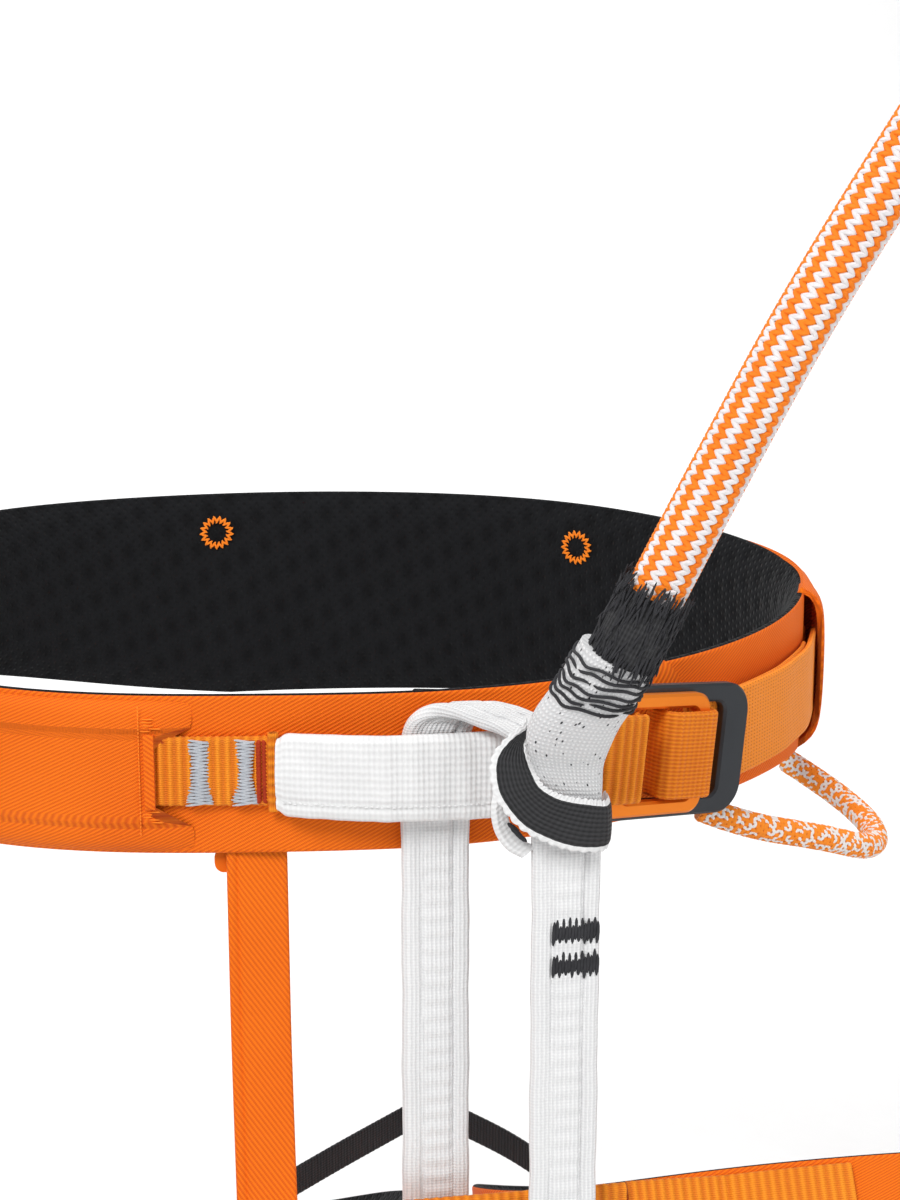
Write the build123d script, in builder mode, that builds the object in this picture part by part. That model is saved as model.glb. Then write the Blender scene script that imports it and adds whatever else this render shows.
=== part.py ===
from build123d import *
import os
from math import radians, sin, cos, tan

os.makedirs("parts", exist_ok=True)

# Climbing saddle: padded waist belt, doubled-back buckle, tie-in sheath, belay loop with a
# girth-hitched rope lanyard, cord gear loops and two hanging leg loops.
# Millimetres. +Z up, the wearer faces -Y, +X is the wearer's left. Origin: centre of the waist.

# ---------------------------------------------------------------- driving dimensions
# Waist outline seen from above, on the outer face of the belt shell, from the front centre.
WAIST = [(0, -90), (44, -75.6), (82, -46), (106.5, 0), (94, 53), (56, 97.5), (0, 118.5),
         (-66, 118), (-120, 95), (-144, 30), (-136, -40), (-96, -76.5), (-46, -88.4)]
FRONT_TOP, BACK_TOP = 16.2, 30.3
FRONT_BOTTOM, BACK_BOTTOM = -19.7, -34.7
SIDE_BOTTOM = -17.5            # lower edge beyond the widest point, above the low lumbar part

SHELL = 1.0                    # orange twill shell
FOAM = 3.0
LINING = 1.0
WEBBING = 1.3                  # thickness of the load webbing
WEBBING_HIGH, WEBBING_LOW = 8.0, -12.5
COVER = 1.1

LEFT_HEM = -71                 # stations, mm round the shell from the front centre
RIGHT_HEM = 133
SHEATH_START, SHEATH_END = -44.5, 12
TONGUE_END = 56

ROPE = 12.7                    # lanyard rope diameter
CORD = 6.5                     # gear loop cord diameter
BAND = 15.0                    # belay loop width
LEG_DROP = 33                  # degrees the leg loops fall towards the back

# ---------------------------------------------------------------- waist outline
with BuildLine() as waist_line:
    Spline(*WAIST, periodic=True)
waist = waist_line.edges()[0]
ROUND = waist.length
END_COVER = ROUND + LEFT_HEM


def on_belt(station, out=0.0):
    """Point (x, y) a distance round the shell from the front centre, moved outwards."""
    at = station % ROUND
    p = waist.position_at(at, position_mode=PositionMode.LENGTH)
    t = waist.tangent_at(at, position_mode=PositionMode.LENGTH)
    return (p.X + out * t.Y, p.Y - out * t.X)


def stations(first, last, pitch=12):
    count = max(4, round((last - first) / pitch))
    return [first + (last - first) * i / count for i in range(count + 1)]


def strip_face(first, last, inner, outer):
    """Profile of a strip that follows part of the belt between two offsets."""
    spots = stations(first, last)
    with BuildSketch(Plane.XY) as face:
        with BuildLine():
            near = Spline(*[on_belt(s, inner) for s in spots])
            far = Spline(*[on_belt(s, outer) for s in spots])
            Line(near @ 0, far @ 0)
            Line(near @ 1, far @ 1)
        make_face()
    return face.sketch


def ring_face(inner, outer):
    """Profile of a closed layer all round the belt."""
    spots = stations(0, ROUND, 24)[:-1]
    with BuildSketch(Plane.XY) as face:
        with BuildLine():
            Spline(*[on_belt(s, outer) for s in spots], periodic=True)
        make_face()
        with BuildLine():
            Spline(*[on_belt(s, inner) for s in spots], periodic=True)
        make_face(mode=Mode.SUBTRACT)
    return face.sketch


def webbing_strip(first, last, inner, outer, low=WEBBING_LOW, high=WEBBING_HIGH):
    """A level strip on the belt, from low to high."""
    face = Plane.XY.offset(low) * strip_face(first, last, inner, outer)
    extrude(face, amount=high - low)


def trim_to_belt(inset):
    """Cut a tall ring to the belt's rising top edge and its low lumbar edge."""
    rise, drop = BACK_TOP - FRONT_TOP, FRONT_BOTTOM - BACK_BOTTOM
    with BuildSketch(Plane.YZ) as side_view:
        with BuildLine():
            top = Spline((-130, FRONT_TOP - inset), (-50, FRONT_TOP + 0.13 * rise - inset),
                         (0, FRONT_TOP + 0.41 * rise - inset), (50, FRONT_TOP + 0.72 * rise - inset),
                         (140, BACK_TOP - inset))
            low = Spline((-130, FRONT_BOTTOM + inset), (-50, FRONT_BOTTOM - 0.05 * drop + inset),
                         (0, FRONT_BOTTOM - 0.28 * drop + inset), (50, FRONT_BOTTOM - 0.62 * drop + inset),
                         (140, BACK_BOTTOM + inset))
            Line(top @ 0, low @ 0)
            Line(top @ 1, low @ 1)
        make_face()
    extrude(side_view.sketch, amount=200, both=True, mode=Mode.INTERSECT)
    with BuildSketch(Plane.XZ) as front_view:
        with BuildLine():
            low = ThreePointArc((-160, SIDE_BOTTOM + 2.6 + inset), (0, BACK_BOTTOM + inset),
                                (160, SIDE_BOTTOM + 2.6 + inset))
            Polyline(low @ 0, (-160, 60), (160, 60), low @ 1)
        make_face()
    extrude(front_view.sketch, amount=200, both=True, mode=Mode.INTERSECT)


# ---------------------------------------------------------------- belt layers
TALL = 50

with BuildPart() as belt_shell:
    extrude(ring_face(-SHELL, 0), amount=TALL, both=True)
    trim_to_belt(0)
belt_shell.part.label = "belt_shell"
export_step(belt_shell.part, "parts/belt_shell.step")

with BuildPart() as belt_foam:
    extrude(ring_face(-SHELL - FOAM, -SHELL - 0.1), amount=TALL, both=True)
    trim_to_belt(1)
belt_foam.part.label = "belt_foam"
export_step(belt_foam.part, "parts/belt_foam.step")

with BuildPart() as belt_lining:
    extrude(ring_face(-SHELL - FOAM - LINING, -SHELL - FOAM - 0.1), amount=TALL, both=True)
    trim_to_belt(-0.4)
belt_lining.part.label = "belt_lining"
export_step(belt_lining.part, "parts/belt_lining.step")

with BuildPart() as belt_cover:
    extrude(strip_face(RIGHT_HEM + 8, END_COVER, WEBBING + 0.4, WEBBING + 0.4 + COVER), amount=TALL, both=True)
    trim_to_belt(-0.3)
belt_cover.part.label = "belt_cover"
export_step(belt_cover.part, "parts/belt_cover.step")

# The end of the left wing lies over the right wing, with a rounded free end.
with BuildPart() as belt_tongue:
    extrude(strip_face(SHEATH_END + 12, TONGUE_END, 0.1, 1.5), amount=TALL, both=True)
    trim_to_belt(-0.6)
belt_tongue.part.label = "belt_tongue"
export_step(belt_tongue.part, "parts/belt_tongue.step")

# Raised hem of the right cover, with the strap running in under it.
with BuildPart() as cover_hem_right:
    extrude(strip_face(RIGHT_HEM, RIGHT_HEM + 7.8, 3.9, 5.7), amount=TALL, both=True)
    trim_to_belt(-0.3)
cover_hem_right.part.label = "cover_hem_right"
export_step(cover_hem_right.part, "parts/cover_hem_right.step")

# Slot hem on the left, where the tie-in webbing comes out of the cover.
with BuildPart() as cover_hem_left:
    webbing_strip(LEFT_HEM + 0.1, LEFT_HEM + 2.6, WEBBING + 0.4, WEBBING + 1.8, -9.0, 7.8)
cover_hem_left.part.label = "cover_hem_left"
export_step(cover_hem_left.part, "parts/cover_hem_left.step")


# Load webbing under the cover, round the back from hem to hem.
with BuildPart() as load_webbing:
    webbing_strip(RIGHT_HEM + 8, END_COVER - 1, 0.1, 0.1 + WEBBING)
load_webbing.part.label = "load_webbing"
export_step(load_webbing.part, "parts/load_webbing.step")

with BuildPart() as tie_in_webbing:
    webbing_strip(LEFT_HEM - 0.5, SHEATH_START - 0.3, 0.1, 0.1 + WEBBING, -8.2, 6.8)
tie_in_webbing.part.label = "tie_in_webbing"
export_step(tie_in_webbing.part, "parts/tie_in_webbing.step")

BARTACKS = [-60.5, -51.5]
with BuildPart() as webbing_bartacks:
    for spot in BARTACKS:
        webbing_strip(spot - 2, spot + 2, 0.15 + WEBBING, 0.8 + WEBBING, -8, 6.4)
webbing_bartacks.part.label = "webbing_bartacks"
export_step(webbing_bartacks.part, "parts/webbing_bartacks.step")

with BuildPart() as fold_stitch:
    webbing_strip(-48.6, -47.6, 0.15 + WEBBING, 0.7 + WEBBING, -7.4, 5.8)
fold_stitch.part.label = "fold_stitch"
export_step(fold_stitch.part, "parts/fold_stitch.step")

# White quilted sheath round the tie-in webbing, standing off for the belay loop behind it.
with BuildPart() as tie_in_sheath:
    webbing_strip(SHEATH_START, SHEATH_END, 5.0, 10.4, -12.4, 7.5)
tie_in_sheath.part.label = "tie_in_sheath"
export_step(tie_in_sheath.part, "parts/tie_in_sheath.step")

# Zigzag stitched rings on the lining, either side of the back.
STITCH_RINGS = [(247, 15.5), (367, 18.0)]
with BuildPart() as back_stitch_rings:
    for station, height in STITCH_RINGS:
        x, y = on_belt(station, -SHELL - FOAM - LINING - 0.3)
        inner = on_belt(station, -20)
        facing = Plane(origin=(x, y, height), z_dir=(inner[0] - x, inner[1] - y, 0))
        with BuildSketch(facing):
            Circle(5.0)
            Circle(3.2, mode=Mode.SUBTRACT)
        extrude(amount=0.7)
back_stitch_rings.part.label = "back_stitch_rings"
export_step(back_stitch_rings.part, "parts/back_stitch_rings.step")

# ---------------------------------------------------------------- buckle
BUCKLE_STATION = 46
BUCKLE_OUT = 7.0               # back face of the outer frame, above the shell
BUCKLE_DIP = 7                 # degrees the buckle leans down towards its free end
BAR = 2.6                      # frame thickness
OUTER_LONG, OUTER_HIGH = 46, 31
INNER_LONG, INNER_HIGH = 30.5, 28
SLOT_HIGH = 21.4
STRAP_HALF = 10.1
LEFT_BAR = -20                 # centre of the bars held by the anchor webbing

bx, by = on_belt(BUCKLE_STATION, BUCKLE_OUT)
along = waist.tangent_at(BUCKLE_STATION, position_mode=PositionMode.LENGTH)
dip = sin(radians(BUCKLE_DIP))
buckle_x = Vector(along.X * cos(radians(BUCKLE_DIP)), along.Y * cos(radians(BUCKLE_DIP)), -dip)
buckle_z = Vector(along.Y, -along.X, 0)
buckle_plane = Plane(origin=(bx, by, -2.2), x_dir=buckle_x, z_dir=buckle_z)

with BuildPart() as buckle_outer_frame:
    with BuildSketch(buckle_plane):
        RectangleRounded(OUTER_LONG, OUTER_HIGH, 7)
        with Locations((-1.25, 0)):
            RectangleRounded(32.5, 22.4, 2.5, mode=Mode.SUBTRACT)
    extrude(amount=BAR)
    chamfer(buckle_outer_frame.faces().sort_by(Axis(buckle_plane.origin, buckle_plane.z_dir))[-1].edges(), 0.6)
buckle_outer_frame.part.label = "buckle_outer_frame"
export_step(buckle_outer_frame.part, "parts/buckle_outer_frame.step")

INNER_MIDDLE = LEFT_BAR - 3 + INNER_LONG / 2
with BuildPart() as buckle_inner_frame:
    with BuildSketch(buckle_plane.offset(BAR + 0.3)):
        with Locations((INNER_MIDDLE, 0)):
            RectangleRounded(INNER_LONG, INNER_HIGH, 4)
        with Locations((-6.95, 0)):
            RectangleRounded(21.3, SLOT_HIGH, 2, mode=Mode.SUBTRACT)
    extrude(amount=BAR)
    chamfer(buckle_inner_frame.faces().sort_by(Axis(buckle_plane.origin, buckle_plane.z_dir))[-1].edges(), 0.6)
buckle_inner_frame.part.label = "buckle_inner_frame"
export_step(buckle_inner_frame.part, "parts/buckle_inner_frame.step")

# Section planes: local x along the buckle, local y out of its face.
section = Plane(origin=buckle_plane.origin, x_dir=buckle_plane.x_dir, z_dir=-buckle_plane.y_dir)

# Anchor webbing: sewn loop round both left bars, with its end turned back over the front.
with BuildPart() as buckle_anchor_webbing:
    with BuildSketch(section):
        with BuildLine():
            Polyline((-26.3, -2.2), (-14.6, -2.2), (-14.6, 8.6), (-26.3, 8.6), close=True)
        make_face()
        with BuildLine():
            Polyline((-24.8, -0.8), (-15.8, -0.8), (-15.8, 6.2), (-24.8, 6.2), close=True)
        make_face(mode=Mode.SUBTRACT)
    extrude(amount=STRAP_HALF, both=True)
buckle_anchor_webbing.part.label = "buckle_anchor_webbing"
export_step(buckle_anchor_webbing.part, "parts/buckle_anchor_webbing.step")

# Strap fold: over the inner frame's right bar and back down through the window.
with BuildPart() as strap_fold:
    with BuildSketch(section):
        with BuildLine():
            Polyline((-6.5, 7.4), (9.4, 7.4), (9.4, -0.2), (8.0, -0.2), (8.0, 6.0), (-4.9, 6.0),
                     (-4.9, -0.2), (-6.5, -0.2), close=True)
        make_face()
    extrude(amount=STRAP_HALF, both=True)
strap_fold.part.label = "strap_fold"
export_step(strap_fold.part, "parts/strap_fold.step")


def in_section(u, out):
    """World (x, y) of a point given along the buckle and out of its face, at its mid height."""
    p = buckle_plane.origin + buckle_plane.x_dir * u + buckle_plane.z_dir * out
    return (p.X, p.Y)


# Adjusting strap: from under the outer frame's right bar, along the belt and in under the hem.
def strap_from_buckle(lift, thick, last):
    rises = [(90, 6.8), (104, 5.4), (118, 4.5), (last, 4.0)]
    inner, outer = [[in_section(8.5, base), in_section(23, base - 0.3)]
                    + [on_belt(station, base + rise) for station, rise in rises]
                    for base in (lift, lift + thick)]
    with BuildSketch(Plane.XY.offset(-13)) as top_view:
        with BuildLine():
            near = Spline(*inner)
            far = Spline(*outer)
            Line(near @ 0, far @ 0)
            Line(near @ 1, far @ 1)
        make_face()
    extrude(top_view.sketch, amount=21.4)


with BuildPart() as adjust_strap:
    strap_from_buckle(-1.8, 1.3, RIGHT_HEM + 6)
adjust_strap.part.label = "adjust_strap"
export_step(adjust_strap.part, "parts/adjust_strap.step")

with BuildPart() as strap_tail:
    strap_from_buckle(-3.7, 1.3, RIGHT_HEM - 8)
strap_tail.part.label = "strap_tail"
export_step(strap_tail.part, "parts/strap_tail.step")

# ---------------------------------------------------------------- belay loop
BELAY_BACK = Vector(-16.5, -93.0, 0)       # left edge of the leg behind the sheath
BELAY_FRONT = Vector(10.0, -107.2, 0)      # left edge of the leg in front of it
BELAY_TOP, BELAY_LOW = 13.5, -121.0
BELAY_THICK = 3.0
BELAY_BEND = 7.0

belay_run = BELAY_FRONT - BELAY_BACK
belay_long = belay_run.length
belay_side = Plane(origin=(BELAY_BACK + BELAY_FRONT) * 0.5, x_dir=belay_run, z_dir=belay_run.cross(Vector(0, 0, 1)))
belay_middle = (BELAY_TOP + BELAY_LOW) / 2
with BuildPart() as belay_loop:
    with BuildSketch(belay_side):
        with Locations((0, belay_middle)):
            RectangleRounded(belay_long + BELAY_THICK, BELAY_TOP - BELAY_LOW, BELAY_BEND)
            RectangleRounded(belay_long - BELAY_THICK, BELAY_TOP - BELAY_LOW - 2 * BELAY_THICK,
                             BELAY_BEND - BELAY_THICK, mode=Mode.SUBTRACT)
    extrude(amount=BAND, dir=(1, 0, 0))
belay_loop.part.label = "belay_loop"
export_step(belay_loop.part, "parts/belay_loop.step")

# Two black zigzag bars woven into the front leg as wear marks.
with BuildPart() as belay_loop_marks:
    with BuildSketch(Plane.XZ.offset(-BELAY_FRONT.Y + 2.2)):
        for height in (-37.5, -46.5):
            with Locations((BELAY_FRONT.X + 9.6, height)):
                Rectangle(9.5, 5)
    extrude(amount=0.5)
belay_loop_marks.part.label = "belay_loop_marks"
export_step(belay_loop_marks.part, "parts/belay_loop_marks.step")

# ---------------------------------------------------------------- lanyard
# Route of the rope, from the collar up to the eye, in millimetres.
ROPE_ROUTE = [(30.6, -125.0, 41.5), (47.6, -130.0, 78.0), (67.0, -135.5, 116.0), (88.0, -140.0, 150.5)]


def bend_radii(route):
    """0.45 of the shorter run over the tangent of half the turn, at each inner point."""
    spots = [Vector(*p) for p in route]
    radii = []
    for before, here, after in zip(spots, spots[1:], spots[2:]):
        turn = (here - before).get_angle(after - here)
        shorter = min((here - before).length, (after - here).length)
        radii.append(0.45 * shorter / tan(radians(turn) / 2))
    return radii


def show_radii(name, radii):
    print(name, "bend radii mm:", [round(r, 1) for r in radii])


with BuildPart() as lanyard_rope:
    with BuildLine():
        rope_line = FilletPolyline(*ROPE_ROUTE, radius=bend_radii(ROPE_ROUTE))
    with BuildSketch(Plane(origin=rope_line @ 0, z_dir=rope_line % 0)):
        Circle(ROPE / 2)
    sweep()
show_radii("lanyard_rope", bend_radii(ROPE_ROUTE))
lanyard_rope.part.label = "lanyard_rope"
export_step(lanyard_rope.part, "parts/lanyard_rope.step")

rope_start = Vector(*ROPE_ROUTE[0])
rope_aim = (Vector(*ROPE_ROUTE[1]) - rope_start).normalized()


def below_rope(distance):
    """Plane across the lanyard, a distance before the rope starts."""
    return Plane(origin=rope_start - rope_aim * distance, x_dir=Vector(1, 0, 0) - rope_aim * rope_aim.X,
                 z_dir=rope_aim)


with BuildPart() as lanyard_collar:
    with BuildSketch(below_rope(12)):
        Circle(7.4)
    extrude(amount=11.9)
lanyard_collar.part.label = "lanyard_collar"
export_step(lanyard_collar.part, "parts/lanyard_collar.step")

with BuildPart() as lanyard_sleeve:
    with BuildSketch(below_rope(46)):
        Ellipse(8.2, 3.6)
    with BuildSketch(below_rope(27)):
        Ellipse(8.4, 4.8)
    with BuildSketch(below_rope(12.1)):
        Ellipse(7.6, 6.8)
    loft()
lanyard_sleeve.part.label = "lanyard_sleeve"
export_step(lanyard_sleeve.part, "parts/lanyard_sleeve.step")

# Black whipping rounds sewn over the sleeve below the collar.
with BuildPart() as lanyard_whipping:
    for step in range(5):
        with BuildSketch(below_rope(15 + 2.6 * step)):
            Ellipse(9.0, 7.4)
            Ellipse(8.6, 6.95, mode=Mode.SUBTRACT)
        extrude(amount=0.8)
lanyard_whipping.part.label = "lanyard_whipping"
export_step(lanyard_whipping.part, "parts/lanyard_whipping.step")

# Webbing eye of the lanyard, girth-hitched round the belay loop's front leg.
HITCH_MIDDLE = (18.5, -108.2)
with BuildPart() as hitch_band:
    with BuildSketch(Plane(origin=(HITCH_MIDDLE[0], HITCH_MIDDLE[1], -11.5), x_dir=(1, 0, -0.35),
                           z_dir=(0.35, 0, 1))):
        RectangleRounded(31, 13.4, 4.5)
        RectangleRounded(26, 8.8, 2.4, mode=Mode.SUBTRACT)
    extrude(amount=5.5, both=True)
hitch_band.part.label = "hitch_band"
export_step(hitch_band.part, "parts/hitch_band.step")

rope_end = Vector(*ROPE_ROUTE[-1])
end_aim = (rope_end - Vector(*ROPE_ROUTE[-2])).normalized()
EYE_R, THIMBLE = 9.0, 2.5
EYE_ROPE = 5.0                 # half the flattened rope round the thimble
with BuildPart() as lanyard_end_sleeve:
    with BuildSketch(Plane(origin=rope_end + end_aim * 0.1, z_dir=end_aim)):
        Circle(8.2)
    extrude(amount=15)
lanyard_end_sleeve.part.label = "lanyard_end_sleeve"
export_step(lanyard_end_sleeve.part, "parts/lanyard_end_sleeve.step")

eye_centre = rope_end + end_aim * (15.4 + EYE_R + THIMBLE + 2 * EYE_ROPE)
eye_face = (Vector(0, -1, 0) + end_aim * end_aim.Y).normalized()
eye_plane = Plane(origin=eye_centre, z_dir=eye_face)
with BuildPart() as lanyard_thimble:
    with BuildSketch(eye_plane.offset(-7)):
        Circle(EYE_R + THIMBLE)
        Circle(EYE_R, mode=Mode.SUBTRACT)
    extrude(amount=14)
lanyard_thimble.part.label = "lanyard_thimble"
export_step(lanyard_thimble.part, "parts/lanyard_thimble.step")

with BuildPart() as lanyard_eye_rope:
    with BuildSketch(eye_plane.offset(-5.5)):
        Circle(EYE_R + THIMBLE + 2 * EYE_ROPE)
        Circle(EYE_R + THIMBLE + 0.1, mode=Mode.SUBTRACT)
    extrude(amount=11)
    fillet(lanyard_eye_rope.edges().group_by(SortBy.LENGTH)[-1], 4)
lanyard_eye_rope.part.label = "lanyard_eye_rope"
export_step(lanyard_eye_rope.part, "parts/lanyard_eye_rope.step")

# ---------------------------------------------------------------- gear loops
# Each route runs out of the belt's lower edge, out to the tip and back in.
GEAR_LOOPS = {
    "gear_loop_left_front": [(58.5, -70.2, -20.5), (69, -71.4, -25), (90, -68.5, -30), (108, -57, -38),
                             (115, -40, -38), (110, -22, -33), (100, -11.5, -27)],
    "gear_loop_left_rear": [(99.6, 25.2, -30.5), (108.2, 34.6, -33.5), (114.8, 54.5, -39), (112.5, 77.3, -46),
                            (100, 92, -47), (82, 90.4, -41), (69.4, 82.1, -34.1)],
    "gear_loop_right_front": [(-115.5, -61.6, -23.8), (-128.5, -64.4, -27), (-149.9, -59.4, -31.4),
                              (-169.2, -39.7, -35.7), (-172.1, -18, -35.2), (-158.2, -6.8, -29.1),
                              (-143.4, -3.4, -22)],
    "gear_loop_right_rear": [(-142.5, 24.8, -22.6), (-152.6, 32.1, -26.2), (-163.6, 48.3, -31.4),
                              (-166.9, 71.4, -38.1), (-158.1, 88.4, -39), (-139.8, 90.7, -33),
                              (-125.7, 84.8, -26)],
}

for name, route in GEAR_LOOPS.items():
    with BuildPart() as gear_loop:
        with BuildLine():
            loop_line = FilletPolyline(*route, radius=bend_radii(route))
        with BuildSketch(Plane(origin=loop_line @ 0, z_dir=loop_line % 0)):
            Circle(CORD / 2)
        sweep()
    show_radii(name, bend_radii(route))
    gear_loop.part.label = name
    export_step(gear_loop.part, f"parts/{name}.step")

# ---------------------------------------------------------------- leg loops
BRIDGE_Y, BRIDGE_Z = -100.0, -107.0        # lower tie-in point inside the belay loop
BRIDGE_HALF = 28
MIDDLE_X = 5                               # both legs hang either side of the belay loop
LEG_A, LEG_B = 76, 80                      # half width and half depth of a leg loop
LEG_APART = 84
LEG_FRONT, LEG_REAR = 8.5, 21              # half height of the band at the front and at the rear

with BuildPart() as leg_bridge:
    with Locations((MIDDLE_X + 1, BRIDGE_Y, BRIDGE_Z)):
        Box(2 * BRIDGE_HALF, 3, 14)
    fillet(leg_bridge.edges().filter_by(Axis.X), 1)
leg_bridge.part.label = "leg_bridge"
export_step(leg_bridge.part, "parts/leg_bridge.step")


def leg_plane(side):
    drop = radians(LEG_DROP)
    centre = (MIDDLE_X + side * LEG_APART, BRIDGE_Y - 1 + LEG_B * cos(drop), BRIDGE_Z - LEG_B * sin(drop))
    return Plane(origin=centre, x_dir=(1, 0, 0), z_dir=(0, sin(drop), cos(drop)))


def leg_layer(side, inner, outer, inset):
    """Oval band of a leg loop between two offsets, narrow in front and tall at the rear."""
    plane = leg_plane(side)
    with BuildSketch(plane) as oval:
        Ellipse(LEG_A + outer, LEG_B + outer)
        Ellipse(LEG_A + inner, LEG_B + inner, mode=Mode.SUBTRACT)
    extrude(oval.sketch, amount=LEG_REAR + 5, both=True)
    profile = Plane(origin=plane.origin, x_dir=plane.y_dir, z_dir=plane.x_dir)
    with BuildSketch(profile) as side_view:
        with BuildLine():
            top = Spline((-LEG_B - 5, LEG_FRONT - inset), (-LEG_B * 0.55, LEG_FRONT + 1.5 - inset),
                         (LEG_B * 0.3, LEG_REAR - 2 - inset), (LEG_B + 5, LEG_REAR - inset))
            low = Spline((-LEG_B - 5, inset - LEG_FRONT), (-LEG_B * 0.55, inset - LEG_FRONT - 1.5),
                         (LEG_B * 0.3, 2 + inset - LEG_REAR), (LEG_B + 5, inset - LEG_REAR))
            Line(top @ 0, low @ 0)
            Line(top @ 1, low @ 1)
        make_face()
    extrude(side_view.sketch, amount=LEG_A + 10, both=True, mode=Mode.INTERSECT)


for side, word in ((-1, "right"), (1, "left")):
    with BuildPart() as leg_shell:
        leg_layer(side, -SHELL, 0, 0)
    leg_shell.part.label = f"leg_shell_{word}"
    export_step(leg_shell.part, f"parts/leg_shell_{word}.step")

    with BuildPart() as leg_foam:
        leg_layer(side, -SHELL - FOAM, -SHELL - 0.1, 1)
    leg_foam.part.label = f"leg_foam_{word}"
    export_step(leg_foam.part, f"parts/leg_foam_{word}.step")

    with BuildPart() as leg_lining:
        leg_layer(side, -SHELL - FOAM - LINING, -SHELL - FOAM - 0.1, -0.4)
    leg_lining.part.label = f"leg_lining_{word}"
    export_step(leg_lining.part, f"parts/leg_lining_{word}.step")

    # Webbing from the front of the leg loop to the end of the bridge.
    reach = -side * (LEG_APART - BRIDGE_HALF - 2)
    with BuildPart() as leg_tab:
        with BuildSketch(leg_plane(side).offset(-7)):
            with BuildLine():
                front = Spline((0, -LEG_B - 1.6), (reach / 2, -LEG_B - 1.5), (reach, -LEG_B - 0.4))
                back = Spline((0, -LEG_B - 0.3), (reach / 2, -LEG_B - 0.2), (reach, -LEG_B + 0.9))
                Line(front @ 0, back @ 0)
                Line(front @ 1, back @ 1)
            make_face()
        extrude(amount=14)
    leg_tab.part.label = f"leg_tab_{word}"
    export_step(leg_tab.part, f"parts/leg_tab_{word}.step")

# ---------------------------------------------------------------- straps between belt and legs
# Twill riser from the belt's lower front edge to the wearer's right leg loop.
RISER_X, RISER_WIDE = -48.0, 13.6
with BuildPart() as riser_strap:
    with BuildSketch(Plane.YZ.offset(RISER_X - RISER_WIDE / 2)):
        with BuildLine():
            Polyline((-84.4, -20.6), (-86.0, -20.6), (-89.0, -60), (-95.5, -94), (-93.9, -94), (-87.4, -60),
                     close=True)
        make_face()
    extrude(amount=RISER_WIDE)
riser_strap.part.label = "riser_strap"
export_step(riser_strap.part, "parts/riser_strap.step")

with BuildPart() as riser_tab:
    with BuildSketch(Plane.XZ.offset(83.0)):
        with Locations((RISER_X - 5.8, -22.6)):
            RectangleRounded(7, 5.4, 2.2)
    extrude(amount=1.2)
riser_tab.part.label = "riser_tab"
export_step(riser_tab.part, "parts/riser_tab.step")

# Rear elastic: one strap down from the back of the belt, split to both leg loops.
KEEPER = Vector(14, 62, -152)
ELASTIC_WIDE, ELASTIC_THICK = 9, 1.4


def strap_between(start, end, wide, thick):
    """Straight flat strap from one point to another, its width level."""
    run = end - start
    level = run.cross(Vector(0, 0, 1)).normalized()
    if abs(run.Z) > abs(run.X):
        level = Vector(1, 0, 0) - run.normalized() * run.normalized().X
    with BuildSketch(Plane(origin=start, x_dir=level, z_dir=run)) as across:
        Rectangle(wide, thick)
    extrude(across.sketch, amount=run.length)


with BuildPart() as rear_elastic:
    strap_between(Vector(22, 108.6, -36.2), KEEPER, ELASTIC_WIDE, ELASTIC_THICK)
rear_elastic.part.label = "rear_elastic"
export_step(rear_elastic.part, "parts/rear_elastic.step")

with BuildPart() as elastic_keeper:
    with Locations(KEEPER - Vector(0, 0.6, 4.6)):
        Box(14, 5, 8)
    fillet(elastic_keeper.edges().filter_by(Axis.X), 1.2)
elastic_keeper.part.label = "elastic_keeper"
export_step(elastic_keeper.part, "parts/elastic_keeper.step")

for side, word in ((-1, "right"), (1, "left")):
    with BuildPart() as rear_branch:
        leave = KEEPER + Vector(side * 8.4, -0.6, -5)
        strap_between(leave, Vector(MIDDLE_X + side * 44, 35.6, -167.5), ELASTIC_THICK, ELASTIC_WIDE)
    rear_branch.part.label = f"rear_branch_{word}"
    export_step(rear_branch.part, f"parts/rear_branch_{word}.step")
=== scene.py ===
from math import cos, pi, radians, sin

import bmesh
import bpy
import numpy as np
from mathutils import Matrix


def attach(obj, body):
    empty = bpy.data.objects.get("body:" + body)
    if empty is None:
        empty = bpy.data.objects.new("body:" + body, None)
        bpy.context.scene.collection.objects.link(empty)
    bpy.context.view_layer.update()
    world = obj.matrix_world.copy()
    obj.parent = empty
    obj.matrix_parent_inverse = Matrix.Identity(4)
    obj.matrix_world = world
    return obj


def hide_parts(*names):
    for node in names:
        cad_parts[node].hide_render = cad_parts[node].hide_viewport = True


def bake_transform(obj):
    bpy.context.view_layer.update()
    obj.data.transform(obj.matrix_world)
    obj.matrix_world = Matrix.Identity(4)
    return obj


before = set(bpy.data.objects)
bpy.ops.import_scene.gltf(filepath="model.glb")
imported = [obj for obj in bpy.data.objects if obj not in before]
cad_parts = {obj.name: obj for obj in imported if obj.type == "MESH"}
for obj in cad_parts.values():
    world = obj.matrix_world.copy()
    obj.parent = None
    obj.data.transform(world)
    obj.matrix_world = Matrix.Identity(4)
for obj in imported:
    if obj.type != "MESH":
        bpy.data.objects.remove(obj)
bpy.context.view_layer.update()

# Climbing saddle: padded waist belt, buckle, tie-in sheath, belay loop with a hitched rope
# lanyard, cord gear loops and hanging leg loops. Lengths here are millimetres, turned into
# metres where a mesh is made. +Z up, the wearer faces -Y, +X is the wearer's left.
MM = 0.001
chance = np.random.default_rng(7)

# ---------------------------------------------------------------- camera
camera_data = bpy.data.cameras.new("camera")
camera_data.lens = 62.4
camera_data.sensor_width = 36
camera = bpy.data.objects.new("camera", camera_data)
camera.location = (-0.0805, -0.5289, 0.1264)
camera.rotation_euler = (pi / 2 - 0.200, 0, -0.170)
bpy.context.scene.collection.objects.link(camera)
bpy.context.scene.camera = camera
bpy.context.scene.view_settings.view_transform = "Standard"

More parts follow.
